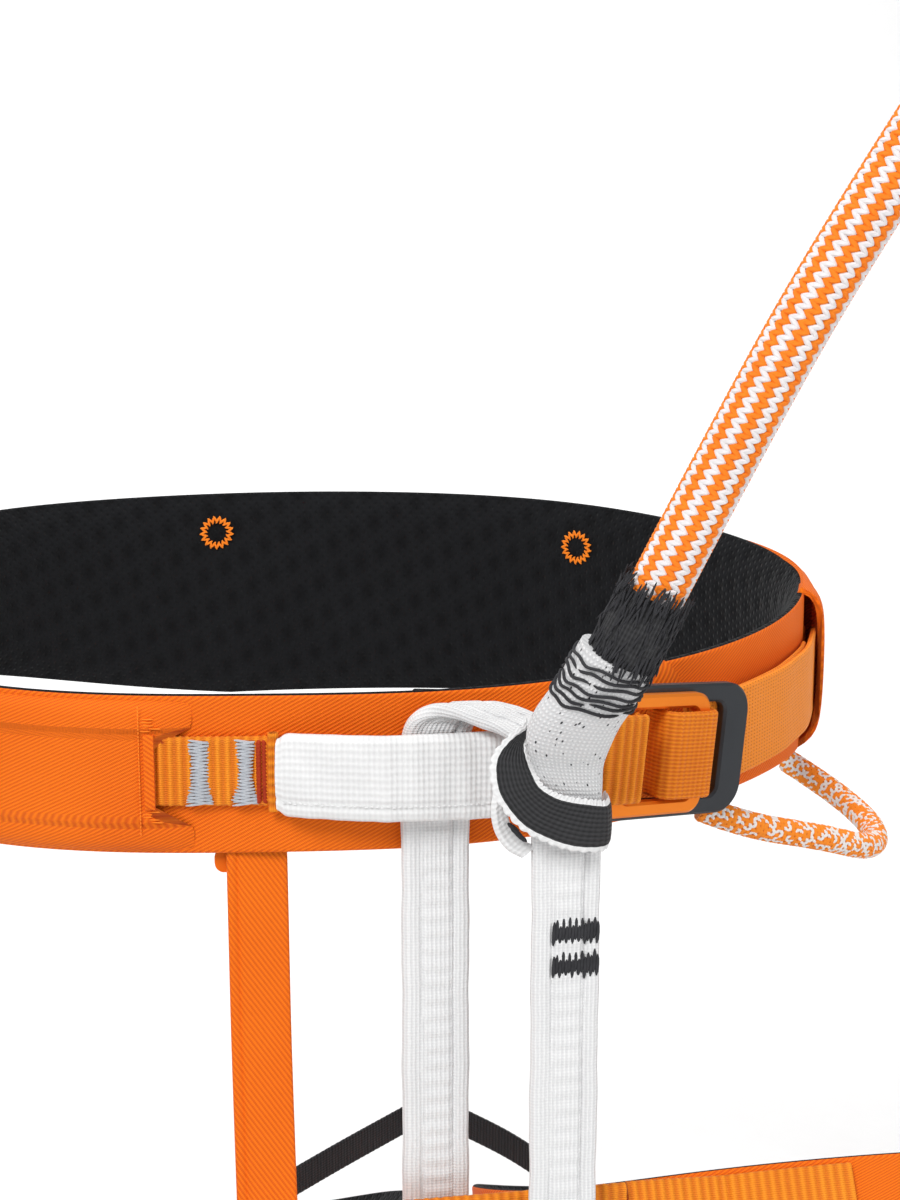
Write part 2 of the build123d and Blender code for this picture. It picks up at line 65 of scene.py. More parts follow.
# ---------------------------------------------------------------- sizes
# The outline, stations and routes are the CAD model's. The belt's edge heights are this model's own and
# lie up to a millimetre lower than the CAD's. The hems are named left and right as seen from the front.
WAIST = [(0, -90), (44, -75.6), (82, -46), (106.5, 0), (94, 53), (56, 97.5), (0, 118.5),
         (-66, 118), (-120, 95), (-144, 30), (-136, -40), (-96, -76.5), (-46, -88.4)]
TOP_EDGE = [(-130, 15.2), (-50, 17.3), (0, 22.0), (50, 26.4), (140, 30.3)]
LOW_EDGE = [(-130, -19.7), (-50, -20.5), (0, -23.9), (50, -29.0), (140, -36.0)]
LUMBAR_LOW, LUMBAR_RISE = -36.5, 0.00119
LEFT_HEM, RIGHT_HEM = -71, 133
SHEATH_START, SHEATH_END = -44.5, 12
TONGUE_END = 56
ROPE, CORD = 12.7, 6.5
ROPE_ROUTE = [(30.6, -125.0, 41.5), (47.6, -130.0, 78.0), (67.0, -135.5, 116.0), (88.0, -140.0, 150.5)]
GEAR_ROUTES = {
    "left_front": [(58.5, -70.2, -20.5), (69, -71.4, -25), (90, -68.5, -30), (108, -57, -38),
                   (115, -40, -38), (110, -22, -33), (100, -11.5, -27)],
    "left_rear": [(99.6, 25.2, -30.5), (108.2, 34.6, -33.5), (114.8, 54.5, -39), (112.5, 77.3, -46),
                  (100, 92, -47), (82, 90.4, -41), (69.4, 82.1, -34.1)],
    "right_front": [(-115.5, -61.6, -23.8), (-128.5, -64.4, -27), (-149.9, -59.4, -31.4),
                    (-169.2, -39.7, -35.7), (-172.1, -18, -35.2), (-158.2, -6.8, -29.1),
                    (-143.4, -3.4, -22)],
    "right_rear": [(-142.5, 24.8, -22.6), (-152.6, 32.1, -26.2), (-163.6, 48.3, -31.4),
                    (-166.9, 71.4, -38.1), (-158.1, 88.4, -39), (-139.8, 90.7, -33),
                    (-125.7, 84.8, -26)],
}


# ---------------------------------------------------------------- materials
class Recipe:
    """A material, with a short way to add nodes and join them."""

    def __init__(self, name, metallic=0.0, sheen=0.0, coat=0.0, specular=0.5):
        self.material = bpy.data.materials.new(name)
        self.material.use_nodes = True
        self.tree = self.material.node_tree
        self.shader = self.tree.nodes["Principled BSDF"]
        self.shader.inputs["Metallic"].default_value = metallic
        self.shader.inputs["Sheen Weight"].default_value = sheen
        self.shader.inputs["Sheen Roughness"].default_value = 0.45
        self.shader.inputs["Coat Weight"].default_value = coat
        self.shader.inputs["Specular IOR Level"].default_value = specular
        self.place = self.node("ShaderNodeTexCoord", {}, {})
        split = self.node("ShaderNodeSeparateXYZ", {}, {0: self.place.outputs["UV"]})
        self.u, self.v = split.outputs[0], split.outputs[1]

    def node(self, kind, settings, inputs):
        made = self.tree.nodes.new(kind)
        for key, value in settings.items():
            setattr(made, key, value)
        for key, value in inputs.items():
            if isinstance(value, bpy.types.NodeSocket):
                self.tree.links.new(value, made.inputs[key])
            else:
                made.inputs[key].default_value = value
        return made

    def math(self, operation, first, second=0.0):
        made = self.node("ShaderNodeMath", {"operation": operation}, {0: first, 1: second})
        return made.outputs[0]

    def wave(self, length, across_u, across_v):
        """Smooth stripes from 0 to 1, one every length mm, along a direction in the weave."""
        run = self.math("ADD", self.math("MULTIPLY", self.u, across_u * 2 * pi / length),
                        self.math("MULTIPLY", self.v, across_v * 2 * pi / length))
        return self.math("ADD", self.math("MULTIPLY", self.math("SINE", run), 0.5), 0.5)

    def noise(self, scale, detail=3.0, space="Object"):
        made = self.node("ShaderNodeTexNoise", {}, {"Vector": self.place.outputs[space], "Scale": scale,
                                                    "Detail": detail})
        return made.outputs["Fac"]

    def colour(self, dark, light, factor):
        mix = self.node("ShaderNodeMix", {"data_type": "RGBA"}, {0: factor, 6: (*dark, 1), 7: (*light, 1)})
        self.tree.links.new(mix.outputs[2], self.shader.inputs["Base Color"])
        return mix

    def rough(self, low, high, factor):
        spread = self.node("ShaderNodeMapRange", {}, {0: factor, 3: low, 4: high})
        self.tree.links.new(spread.outputs[0], self.shader.inputs["Roughness"])

    def bump(self, height, depth, strength=1.0):
        """Depth is in millimetres."""
        made = self.node("ShaderNodeBump", {},
                         {"Height": height, "Distance": depth * MM, "Strength": strength})
        self.tree.links.new(made.outputs[0], self.shader.inputs["Normal"])


def twill(name, dark, light, lean=1.0):
    """Fine diagonal twill; lean is 1 where the lines rise along u and -1 where they fall."""
    r = Recipe(name, sheen=0.03, specular=0.18)
    line = r.wave(0.95, -0.57 * lean, 0.82)
    pick = r.wave(0.42, 0.82, 0.57 * lean)
    weave = r.math("ADD", r.math("MULTIPLY", line, 0.75), r.math("MULTIPLY", pick, 0.25))
    cloud = r.noise(28, 4)
    r.colour(dark, light, r.math("ADD", r.math("MULTIPLY", weave, 0.7), r.math("MULTIPLY", cloud, 0.4)))
    r.rough(0.62, 0.8, weave)
    r.bump(r.math("ADD", r.math("MULTIPLY", weave, 0.6), r.math("MULTIPLY", cloud, 0.9)), 0.24)
    return r.material


def ribbed(name, dark, light, pitch, along=True, depth=0.25, fine=0.5):
    """Webbing with ribs; along is True where each rib crosses the strap's width."""
    r = Recipe(name, sheen=0.03, specular=0.2)
    rib = r.wave(pitch, 1.0, 0.0) if along else r.wave(pitch, 0.0, 1.0)
    thread = r.wave(fine, 0.0, 1.0) if along else r.wave(fine, 1.0, 0.0)
    weave = r.math("ADD", r.math("MULTIPLY", rib, 0.7), r.math("MULTIPLY", thread, 0.3))
    cloud = r.noise(60, 3)
    r.colour(dark, light, r.math("ADD", r.math("MULTIPLY", weave, 0.75), r.math("MULTIPLY", cloud, 0.3)))
    r.rough(0.5, 0.72, weave)
    r.bump(weave, depth)
    return r.material


def dotted(name, dark, light):
    """Flat strap with rows of small pits between its ribs."""
    r = Recipe(name, sheen=0.03, specular=0.2)
    column, row = r.wave(1.45, 1.0, 0.0), r.wave(0.85, 0.0, 1.0)
    pit = r.math("POWER", r.math("MULTIPLY", column, row), 3.0)
    fine = r.wave(0.7, 1.0, 0.35)
    solid = r.math("SUBTRACT", 1.0, pit)
    weave = r.math("ADD", r.math("MULTIPLY", solid, 0.75), r.math("MULTIPLY", fine, 0.25))
    r.colour(dark, light, weave)
    r.rough(0.5, 0.7, fine)
    r.bump(weave, 0.3)
    return r.material


def lining_mesh(name):
    """Black spacer mesh with rows of fine dimples and a wider quilted grid."""
    r = Recipe(name, sheen=0.06, specular=0.2)
    a, b, c = r.wave(1.9, 1.0, 0.0), r.wave(1.9, 0.5, 0.866), r.wave(1.9, -0.5, 0.866)
    dimple = r.math("MULTIPLY", r.math("MULTIPLY", a, b), c)
    quilt = r.math("MULTIPLY", r.wave(7.4, 1.0, 0.35), r.wave(7.4, -0.35, 1.0))
    cloud = r.noise(45, 5)
    dark = r.math("ADD", r.math("MULTIPLY", dimple, 0.5), r.math("MULTIPLY", quilt, 0.5))
    r.colour((0.0085, 0.009, 0.0105), (0.0015, 0.0015, 0.002),
             r.math("ADD", dark, r.math("MULTIPLY", cloud, 0.4)))
    r.rough(0.95, 0.8, dimple)
    r.bump(r.math("SUBTRACT", r.math("MULTIPLY", cloud, 0.3), r.math("ADD", dimple, quilt)), 0.4)
    return r.material


def quilted(name, dark, light):
    """White tubular tape: fine ribs across and rows of small stitches along it."""
    r = Recipe(name, sheen=0.2, specular=0.3)
    rib, row = r.wave(1.15, 1.0, 0.0), r.wave(1.6, 0.0, 1.0)
    weave = r.math("ADD", r.math("MULTIPLY", rib, 0.5), r.math("MULTIPLY", row, 0.5))
    cloud = r.noise(90, 5)
    soft = r.math("ADD", r.math("MULTIPLY", weave, 0.45), r.math("MULTIPLY", cloud, 0.6))
    r.colour(dark, light, soft)
    r.rough(0.68, 0.85, cloud)
    r.bump(soft, 0.5)
    return r.material


def flecked(name):
    """White knitted sleeve with scattered black flecks."""
    r = Recipe(name, sheen=0.2, specular=0.3)
    scaled = r.node("ShaderNodeMapping", {}, {0: r.place.outputs["UV"], 3: (0.42, 0.85, 1.0)})
    cells = r.node("ShaderNodeTexVoronoi", {},
                   {"Vector": scaled.outputs[0], "Scale": 1.0, "Randomness": 0.75})
    fleck = r.math("LESS_THAN", cells.outputs["Distance"], 0.17)
    rib, row = r.wave(1.1, 1.0, 0.0), r.wave(0.9, 0.0, 1.0)
    weave = r.math("MULTIPLY", rib, row)
    base = r.colour((0.62, 0.62, 0.63), (0.86, 0.86, 0.86), weave)
    dark = r.node("ShaderNodeMix", {"data_type": "RGBA"},
                  {0: fleck, 6: base.outputs[2], 7: (0.03, 0.03, 0.035, 1)})
    r.tree.links.new(dark.outputs[2], r.shader.inputs["Base Color"])
    r.rough(0.7, 0.85, weave)
    r.bump(r.math("SUBTRACT", weave, fleck), 0.2)
    return r.material


def yarn(name, dark, light, scale=900, sheen=0.04):
    """Twisted yarn or thread, with fibres and a little colour change."""
    r = Recipe(name, sheen=sheen, specular=0.2)
    fibre, cloud = r.noise(scale, 3), r.noise(140, 2)
    r.colour(dark, light, r.math("ADD", r.math("MULTIPLY", fibre, 0.6), r.math("MULTIPLY", cloud, 0.5)))
    r.rough(0.55, 0.8, fibre)
    r.bump(fibre, 0.12)
    return r.material


def anodised(name, dark, light, rough):
    """Bead-blasted anodised aluminium."""
    r = Recipe(name, metallic=0.75, coat=0.08, specular=0.5)
    grain, cloud = r.noise(2600, 2), r.noise(30, 3)
    r.colour(dark, light, cloud)
    r.rough(rough, rough + 0.14, grain)
    r.bump(grain, 0.02)
    return r.material


def moulded(name, dark, light, rough):
    """Moulded plastic or shrink tube with a fine surface grain."""
    r = Recipe(name, specular=0.45)
    grain, cloud = r.noise(900, 3), r.noise(60, 2)
    r.colour(dark, light, cloud)
    r.rough(rough, rough + 0.15, grain)
    r.bump(grain, 0.05)
    return r.material


TWILL_DARK, TWILL_LIGHT = (0.60, 0.062, 0.001), (0.98, 0.21, 0.006)
WEBBING_DARK, WEBBING_LIGHT = (0.62, 0.11, 0.003), (1.0, 0.33, 0.018)
ORANGE_TWILL = twill("orange_twill", TWILL_DARK, TWILL_LIGHT)
ORANGE_TWILL_DOWN = twill("orange_twill_down", TWILL_DARK, TWILL_LIGHT, -1.0)
BLACK_MESH = lining_mesh("black_mesh")
TIE_IN_WEBBING = ribbed("orange_webbing_ribbed", WEBBING_DARK, WEBBING_LIGHT, 2.1, depth=0.4)
ANCHOR_WEBBING = ribbed("orange_webbing_anchor", WEBBING_DARK, WEBBING_LIGHT, 2.3, depth=0.4)
FOLD_WEBBING = ribbed("orange_webbing_fold", (0.66, 0.11, 0.003), (1.0, 0.31, 0.016), 0.9,
                      along=False, depth=0.3, fine=1.5)
STRAP_WEBBING = dotted("orange_webbing_dotted", (0.50, 0.08, 0.004), (1.0, 0.31, 0.02))
WHITE_TAPE = quilted("white_tape", (0.66, 0.66, 0.66), (0.88, 0.88, 0.88))
WHITE_LOOP = ribbed("white_loop", (0.66, 0.66, 0.67), (0.88, 0.88, 0.88), 1.0,
                    along=False, depth=0.2, fine=0.7)
FLECKED = flecked("white_flecked")
BLACK_WEAVE = ribbed("black_weave", (0.008, 0.008, 0.009), (0.05, 0.05, 0.053), 0.8,
                     along=False, depth=0.25, fine=1.3)
ROPE_ORANGE = yarn("rope_orange", (0.78, 0.15, 0.006), (0.98, 0.28, 0.02))
ROPE_WHITE = yarn("rope_white", (0.66, 0.62, 0.62), (0.90, 0.87, 0.88))
ROPE_CORE = yarn("rope_core", (0.60, 0.11, 0.004), (0.85, 0.19, 0.01))
CORD_ORANGE = yarn("cord_orange", (0.85, 0.20, 0.01), (1.0, 0.33, 0.03))
CORD_WHITE = yarn("cord_white", (0.74, 0.70, 0.68), (0.93, 0.90, 0.88))
CORD_CORE = yarn("cord_core", (0.55, 0.16, 0.03), (0.8, 0.3, 0.08))
GREY_THREAD = yarn("grey_thread", (0.25, 0.27, 0.30), (0.60, 0.62, 0.66), sheen=0.4)
RED_THREAD = yarn("red_thread", (0.25, 0.015, 0.004), (0.5, 0.05, 0.008))
ORANGE_THREAD = yarn("orange_thread", (0.85, 0.17, 0.008), (1.0, 0.30, 0.02))
WHITE_THREAD = yarn("white_thread", (0.6, 0.6, 0.6), (0.9, 0.9, 0.9))
BLACK_THREAD = yarn("black_thread", (0.006, 0.006, 0.008), (0.05, 0.05, 0.055))
GREY_FRAME = anodised("grey_frame", (0.030, 0.033, 0.038), (0.060, 0.065, 0.072), 0.40)
ORANGE_FRAME = anodised("orange_frame", (0.90, 0.20, 0.008), (1.0, 0.29, 0.02), 0.34)
THIMBLE_METAL = anodised("thimble_metal", (0.45, 0.46, 0.48), (0.62, 0.63, 0.65), 0.28)
BLACK_SHRINK = moulded("black_shrink", (0.008, 0.008, 0.009), (0.02, 0.02, 0.022), 0.42)
BLACK_PLASTIC = moulded("black_plastic", (0.008, 0.008, 0.009), (0.022, 0.022, 0.024), 0.36)
BLACK_ELASTIC = ribbed("black_elastic", (0.006, 0.006, 0.007), (0.04, 0.04, 0.043), 1.1, depth=0.3, fine=0.8)
STAGE = moulded("stage_paper", (0.86, 0.86, 0.86), (0.88, 0.88, 0.88), 0.8)


# ---------------------------------------------------------------- mesh makers
SHARP_EDGE = radians(50)


def add_piece(name, points, faces, materials, body, uvs=None, slots=None):
    """A mesh object from points in mm, with weave coordinates in mm at each face corner.

    The body is None for a piece that is left unattached to any body.
    """
    mesh = bpy.data.meshes.new(name)
    mesh.from_pydata((np.asarray(points) * MM).tolist(), [], faces)
    for material in materials:
        mesh.materials.append(material)
    if uvs is not None:
        layer = mesh.uv_layers.new(name="weave")
        layer.data.foreach_set("uv", np.asarray(uvs, dtype=np.float32).ravel())
    if slots is not None:
        mesh.polygons.foreach_set("material_index", np.asarray(slots, dtype=np.int32).ravel())
    work = bmesh.new()
    work.from_mesh(mesh)
    bmesh.ops.recalc_face_normals(work, faces=work.faces)
    work.to_mesh(mesh)
    work.free()
    mesh.polygons.foreach_set("use_smooth", [True] * len(mesh.polygons))
    mesh.set_sharp_from_angle(angle=SHARP_EDGE)
    made = bpy.data.objects.new(name, mesh)
    bpy.context.scene.collection.objects.link(made)
    if body is not None:
        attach(made, body)
    return made


def stands_for(piece, slot, *nodes):
    """Hide the CAD nodes that a piece takes the place of; the piece and slot arguments are not used."""
    if nodes:
        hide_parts(*nodes)


def loft(rings, along=None, wrap=False):
    """Faces and corner coordinates of a skin over rings of points, u along and v around."""
    rings = np.asarray(rings, float)
    count, size = rings.shape[:2]
    around = np.linalg.norm(np.roll(rings, -1, 1) - rings, axis=2).mean(0)
    v = np.concatenate([[0], np.cumsum(around)])
    if along is None:
        steps = np.linalg.norm(np.diff(rings.mean(1), axis=0), axis=1)
        along = np.concatenate([[0], np.cumsum(steps)])
        if wrap:
            along = np.append(along, along[-1] + np.linalg.norm(rings[-1].mean(0) - rings[0].mean(0)))
    faces, uvs = [], []
    for i in range(count if wrap else count - 1):
        here, there = i * size, ((i + 1) % count) * size
        for j in range(size):
            k = (j + 1) % size
            faces.append((here + j, here + k, there + k, there + j))
            uvs += [(along[i], v[j]), (along[i], v[j + 1]), (along[i + 1], v[j + 1]), (along[i + 1], v[j])]
    if not wrap:
        for start in (0, (count - 1) * size):
            faces.append(tuple(range(start, start + size)))
            uvs += [(j, 0) for j in range(size)]
    return rings.reshape(-1, 3), faces, uvs


def smooth_line(points, step=1.0, closed=False):
    """Evenly spaced points along a Catmull-Rom curve."""
    p = np.asarray(points, float)
    p = np.vstack([p[-1], p, p[:2]]) if closed else np.vstack([2 * p[0] - p[1], p, 2 * p[-1] - p[-2]])
    t = np.linspace(0, 1, 24, endpoint=False)[:, None]
    parts = []
    for a, b, c, d in zip(p, p[1:], p[2:], p[3:]):
        parts.append(0.5 * (2 * b + (c - a) * t + (2 * a - 5 * b + 4 * c - d) * t**2
                            + (3 * b - a - 3 * c + d) * t**3))
    line = np.vstack(parts + [p[-2:-1]])
    return even(line, step)


def even(line, step):
    """The same line with its points about one step apart."""
    line = np.asarray(line, float)
    run = lengths_along(line)
    spots = np.linspace(0, run[-1], max(3, int(round(run[-1] / step)) + 1))
    return np.stack([np.interp(spots, run, line[:, k]) for k in range(line.shape[1])], 1)


def unit(vectors):
    """Vectors of the same directions, each one long."""
    return vectors / np.maximum(np.linalg.norm(vectors, axis=-1, keepdims=True), 1e-9)


def lengths_along(line):
    """Distance from the start of a line to each of its points."""
    return np.concatenate([[0], np.cumsum(np.linalg.norm(np.diff(line, axis=0), axis=1))])


def flat_section(width, thick, across=17):
    """(w, h) points round a strap with rounded edges, starting at one edge of its face."""
    r = thick / 2
    face = np.linspace(-0.5, 0.5, across) * (width - thick)
    turn = np.linspace(0, pi, 7)[1:-1]
    front = [(w, r) for w in face]
    right = [(face[-1] + r * sin(a), r * cos(a)) for a in turn]
    back = [(w, -r) for w in face[::-1]]
    left = [(face[0] - r * sin(a), -r * cos(a)) for a in turn]
    return np.array(front + right + back + left)


def ribbon(name, line, across, width, thick, material, body, relief=None, scallop=None, wrap=False):
    """A strap along a line. across is the width direction; relief(w, s) adds to its face height."""
    line = np.asarray(line, float)
    tangent = unit(np.roll(line, -1, 0) - np.roll(line, 1, 0)) if wrap else unit(np.gradient(line, axis=0))
    across = np.broadcast_to(np.asarray(across, float), line.shape)
    out = unit(np.cross(across, tangent))
    section = flat_section(width, thick)
    run = lengths_along(line)
    w = np.broadcast_to(section[:, 0], (len(line), len(section))).copy()
    h = np.broadcast_to(section[:, 1], w.shape).copy()
    if relief is not None:
        raised = np.clip(relief(w / width, run[:, None]), -0.4 * thick, None)
        h = h + np.sign(h) * raised * (np.abs(h) > 0.2 * thick)
    if scallop is not None:
        w = w * scallop(run[:, None])
    rings = line[:, None] + w[..., None] * across[:, None] + h[..., None] * out[:, None]
    points, faces, uvs = loft(rings, wrap=wrap)
    return add_piece(name, points, faces, [material], body, uvs)


def rib_relief(height, pitch):
    """Relief of ribs that cross a strap."""
    return lambda w, s: height * np.sin(2 * pi * s / pitch)


def yarn_shapes(centres, aims, outs, length, wide, high, droop=0.0, fine=True):
    """Short fat strands: one closed shape per centre, lying along aim and rounded towards out."""
    centres, aims, outs = (np.asarray(a, float) for a in (centres, aims, outs))
    spots = np.array([-0.5, -0.32, 0, 0.32, 0.5] if fine else [-0.5, -0.22, 0.22, 0.5])
    girth = np.array([0.35, 0.86, 1, 0.86, 0.35] if fine else [0.35, 1, 1, 0.35])
    turn = np.arange(6 if fine else 5) * 2 * pi / (6 if fine else 5)
    sides = unit(np.cross(aims, outs))
    length, wide, high = (np.broadcast_to(np.asarray(a, float), len(centres)) for a in (length, wide, high))
    a = spots[None, :, None, None] * length[:, None, None, None] * aims[:, None, None]
    b = (girth[:, None] * np.cos(turn))[None, ..., None] * wide[:, None, None, None] * sides[:, None, None]
    rise = (girth[:, None] * np.sin(turn))[None] * high[:, None, None] - droop * (2 * spots[None, :, None])**2
    points = centres[:, None, None] + a + b + rise[..., None] * outs[:, None, None]
    around, rows = len(turn), len(spots)
    cell = [(i * around + j, i * around + (j + 1) % around, (i + 1) * around + (j + 1) % around,
             (i + 1) * around + j) for i in range(rows - 1) for j in range(around)]
    cell += [tuple(range(around)), tuple(range((rows - 1) * around, rows * around))]
    size = around * rows
    faces = [tuple(k * size + q for q in quad) for k in range(len(centres)) for quad in cell]
    return points.reshape(-1, 3), faces, len(cell)


def add_yarns(name, centres, aims, outs, length, wide, high, material, body, droop=0.0):
    points, faces, _ = yarn_shapes(centres, aims, outs, length, wide, high, droop)
    return add_piece(name, points, faces, [material], body)


def carried_frame(line):
    """Tangent and two cross directions carried along a line without twist."""
    tangent = unit(np.gradient(line, axis=0))
    side = np.zeros_like(line)
    side[0] = unit(np.cross(tangent[0], (0.0, -1.0, 0.0)))
    for i in range(1, len(line)):
        side[i] = unit(side[i - 1] - tangent[i] * np.dot(side[i - 1], tangent[i]))
    return tangent, side, np.cross(tangent, side)


def braid(name, line, radius, columns, materials, body, zigzag, fine=True):
    """Rope of interlaced yarns round a core. Materials are core, orange and white.

    A zigzag rope has columns of chevrons; otherwise the white yarns are scattered flecks.
    """
    cell = 2 * pi * radius / columns
    rise = 0.46 if zigzag else 1.0
    dense = even(line, cell * rise)
    tangent, side, front = carried_frame(dense)
    turns = (np.arange(columns) + 0.5) * 2 * pi / columns
    radial = np.cos(turns)[None, :, None] * side[:, None] + np.sin(turns)[None, :, None] * front[:, None]
    round_dir = np.cross(tangent[:, None], radial)
    row, column = np.meshgrid(np.arange(len(dense)), np.arange(columns), indexing="ij")
    way = np.where((row + (0 if zigzag else column)) % 2 == 0, 1.0, -1.0)[..., None]
    aim = unit(rise * tangent[:, None] + way * round_dir)
    high = (0.22 if zigzag else 0.30) * cell
    centre = dense[:, None] + radial * (radius - high)
    keep = slice(1, -1)
    if zigzag:
        white = (column[keep] % 2 == 0).ravel()
    else:
        white = chance.random(row[keep].size) < np.where((column[keep] // 2 % 2 == 0).ravel(), 0.58, 0.36)
    wide = np.where(white, 0.25, 0.27) * cell if zigzag else np.where(white, 0.42, 0.60) * cell
    length = (1.42 if zigzag else 1.85) * cell
    points, faces, per = yarn_shapes(centre[keep].reshape(-1, 3), aim[keep].reshape(-1, 3),
                                     radial[keep].reshape(-1, 3), length, wide, high, 0.16 * cell, fine)
    slots = np.repeat(np.where(white, 2, 1), per)
    ring = np.arange(14) * 2 * pi / 14
    inner = radius - 1.25 * high
    rings = dense[:, None] + inner * (np.cos(ring)[None, :, None] * side[:, None]
                                      + np.sin(ring)[None, :, None] * front[:, None])
    core_points, core_faces, _ = loft(rings)
    shift = len(points)
    faces = faces + [tuple(q + shift for q in face) for face in core_faces]
    slots = np.concatenate([slots, np.zeros(len(core_faces), int)])
    return add_piece(name, np.vstack([points, core_points]), faces, materials, body, slots=slots)


def cord_line(name, route):
    """Points in mm along one open NURBS spline whose control points are the route."""
    data = bpy.data.curves.new(name, "CURVE")
    data.dimensions = "3D"
    data.resolution_u = 24
    spline = data.splines.new("NURBS")
    spline.points.add(len(route) - 1)
    for spot, place in zip(spline.points, route):
        spot.co = (place[0] * MM, place[1] * MM, place[2] * MM, 1)
    spline.order_u = 3
    spline.use_endpoint_u = True
    guide = bpy.data.objects.new(name, data)
    bpy.context.scene.collection.objects.link(guide)
    mesh = bpy.data.meshes.new_from_object(guide)
    line = np.array([v.co[:] for v in mesh.vertices]) / MM
    bpy.data.objects.remove(guide)
    return line


# ---------------------------------------------------------------- waist outline
def closed_spline(points, fine=60):
    """Closed cubic curve through the points, with chord-length spacing."""
    p = np.asarray(points, float)
    n = len(p)
    h = np.linalg.norm(np.roll(p, -1, 0) - p, axis=1)
    system, right = np.zeros((n, n)), np.zeros((n, 2))
    for i in range(n):
        before, after = (i - 1) % n, (i + 1) % n
        system[i, before] += h[i]
        system[i, i] += 2 * (h[before] + h[i])
        system[i, after] += h[before]
        right[i] = 3 * (h[i] * (p[i] - p[before]) / h[before] + h[before] * (p[after] - p[i]) / h[i])
    slope = np.linalg.solve(system, right)
    parts = []
    for i in range(n):
        after = (i + 1) % n
        t = np.linspace(0, 1, fine, endpoint=False)[:, None]
        parts.append((2 * t**3 - 3 * t**2 + 1) * p[i] + (t**3 - 2 * t**2 + t) * h[i] * slope[i]
                     + (3 * t**2 - 2 * t**3) * p[after] + (t**3 - t**2) * h[i] * slope[after])
    return np.vstack(parts + [p[:1]])


OUTLINE = closed_spline(WAIST)
STATION = lengths_along(OUTLINE)
ROUND = STATION[-1]
OUTLINE_DIR = unit(np.gradient(np.vstack([OUTLINE[-3:-1], OUTLINE, OUTLINE[1:3]]), axis=0)[2:-2])
END_COVER = ROUND + LEFT_HEM


def belt_xy(station, out):
    """Places round the belt: station mm along its face, and out mm off it."""
    at = np.mod(station, ROUND)
    x, y = (np.interp(at, STATION, OUTLINE[:, k]) for k in (0, 1))
    tx, ty = (np.interp(at, STATION, OUTLINE_DIR[:, k]) for k in (0, 1))
    return x + out * ty, y - out * tx


def belt_points(station, out, z):
    station, out, z = np.broadcast_arrays(np.asarray(station, float), out, z)
    x, y = belt_xy(station, out)
    return np.stack([x, y, z], -1)


def belt_out(station):
    """Directions straight out of the belt's face."""
    x0, y0 = belt_xy(np.asarray(station, float), 0.0)
    x1, y1 = belt_xy(np.asarray(station, float), 1.0)
    return np.stack([x1 - x0, y1 - y0, np.zeros_like(x0)], -1)


def belt_along(station):
    """Directions along the belt's face."""
    station = np.asarray(station)
    return unit(belt_points(station + 0.5, 0, 0) - belt_points(station - 0.5, 0, 0))


TOP_LINE = smooth_line(TOP_EDGE, 2)
LOW_LINE = smooth_line(LOW_EDGE, 2)


def belt_edges(station):
    """Lower and upper edge heights of the belt."""
    x, y = belt_xy(station, 0.0)
    top = np.interp(y, TOP_LINE[:, 0], TOP_LINE[:, 1])
    low = np.maximum(np.interp(y, LOW_LINE[:, 0], LOW_LINE[:, 1]), LUMBAR_LOW + LUMBAR_RISE * x**2)
    return low, top


# ---------------------------------------------------------------- cords first
def add_gear_loop(word, route):
    body = f"gear_loop_{word}_body"
    line = cord_line(f"route_{word}", route)
    made = braid(f"gear_cord_{word}", line, CORD / 2, 20, [CORD_CORE, CORD_ORANGE, CORD_WHITE], body,
                 zigzag=False, fine=False)
    stands_for(made, "speckled_cord", f"gear_loop_{word}")


for word, route in GEAR_ROUTES.items():
    add_gear_loop(word, route)

rope_line = cord_line("route_lanyard", ROPE_ROUTE)
ROPE_YARNS = [ROPE_CORE, ROPE_ORANGE, ROPE_WHITE]
rope = braid("lanyard_braid", rope_line, ROPE / 2, 16, ROPE_YARNS, "belt", zigzag=True)
stands_for(rope, "orange_rope", "lanyard_rope")

# Thinner rope laid round the thimble.
EYE_CENTRE = np.array([107.07, -144.09, 181.83])
EYE_AXIS = np.array([-0.05757, -0.99385, -0.09459])
EYE_RADIUS, EYE_ROPE = 16.6, 10.4
eye_side = unit(np.cross(EYE_AXIS, (0.0, 0.0, 1.0)))
eye_up = np.cross(eye_side, EYE_AXIS)
eye_turn = np.linspace(0, 2 * pi, 120)[:, None]
eye_line = EYE_CENTRE + EYE_RADIUS * (np.cos(eye_turn) * eye_side + np.sin(eye_turn) * eye_up)
eye_rope = braid("lanyard_eye_braid", eye_line, EYE_ROPE / 2, 14, ROPE_YARNS, "belt", zigzag=True)
stands_for(eye_rope, "orange_rope", "lanyard_eye_rope")


# ---------------------------------------------------------------- padded belt
def pad_section(low, high, thick, bulge, count=15):
    """(out, z) rings of a pad with rounded edges, and how many points of each are its face.

    The face is at out 0 and the back, which bulges, at -thick.
    """
    middle, half = (low + high) / 2, (high - low) / 2
    r = 0.2 * thick
    t = np.sin(np.linspace(-pi / 2, pi / 2, count))
    face = [(0.0, middle + (half - r) * k) for k in t]
    turn = np.linspace(0, pi, 9)[1:-1]
    top = [(r * cos(a) - r, high - r + 1.1 * r * sin(a)) for a in turn]
    back = [(-2 * r - (thick - 2 * r) * (1 - abs(k)**5) - bulge * (1 - k * k),
             middle + (half - r) * k) for k in t[::-1]]
    bottom = [(-r - r * cos(a), low + r - 1.1 * r * sin(a)) for a in turn]
    rows = face + top + back + bottom
    out = np.stack([np.full_like(low, row[0]) for row in rows], -1)
    z = np.stack([row[1] for row in rows], -1)
    return out, z, len(face)


def pad_slots(size, face_count, lower_rows, rings):
    """Slots of a pad's faces: 0 is the twill of its face and lower edge, 1 the lining."""
    ring_slots = np.ones(size, int)
    ring_slots[:face_count + 1] = 0
    ring_slots[-lower_rows:] = 0
    return np.tile(ring_slots, rings)


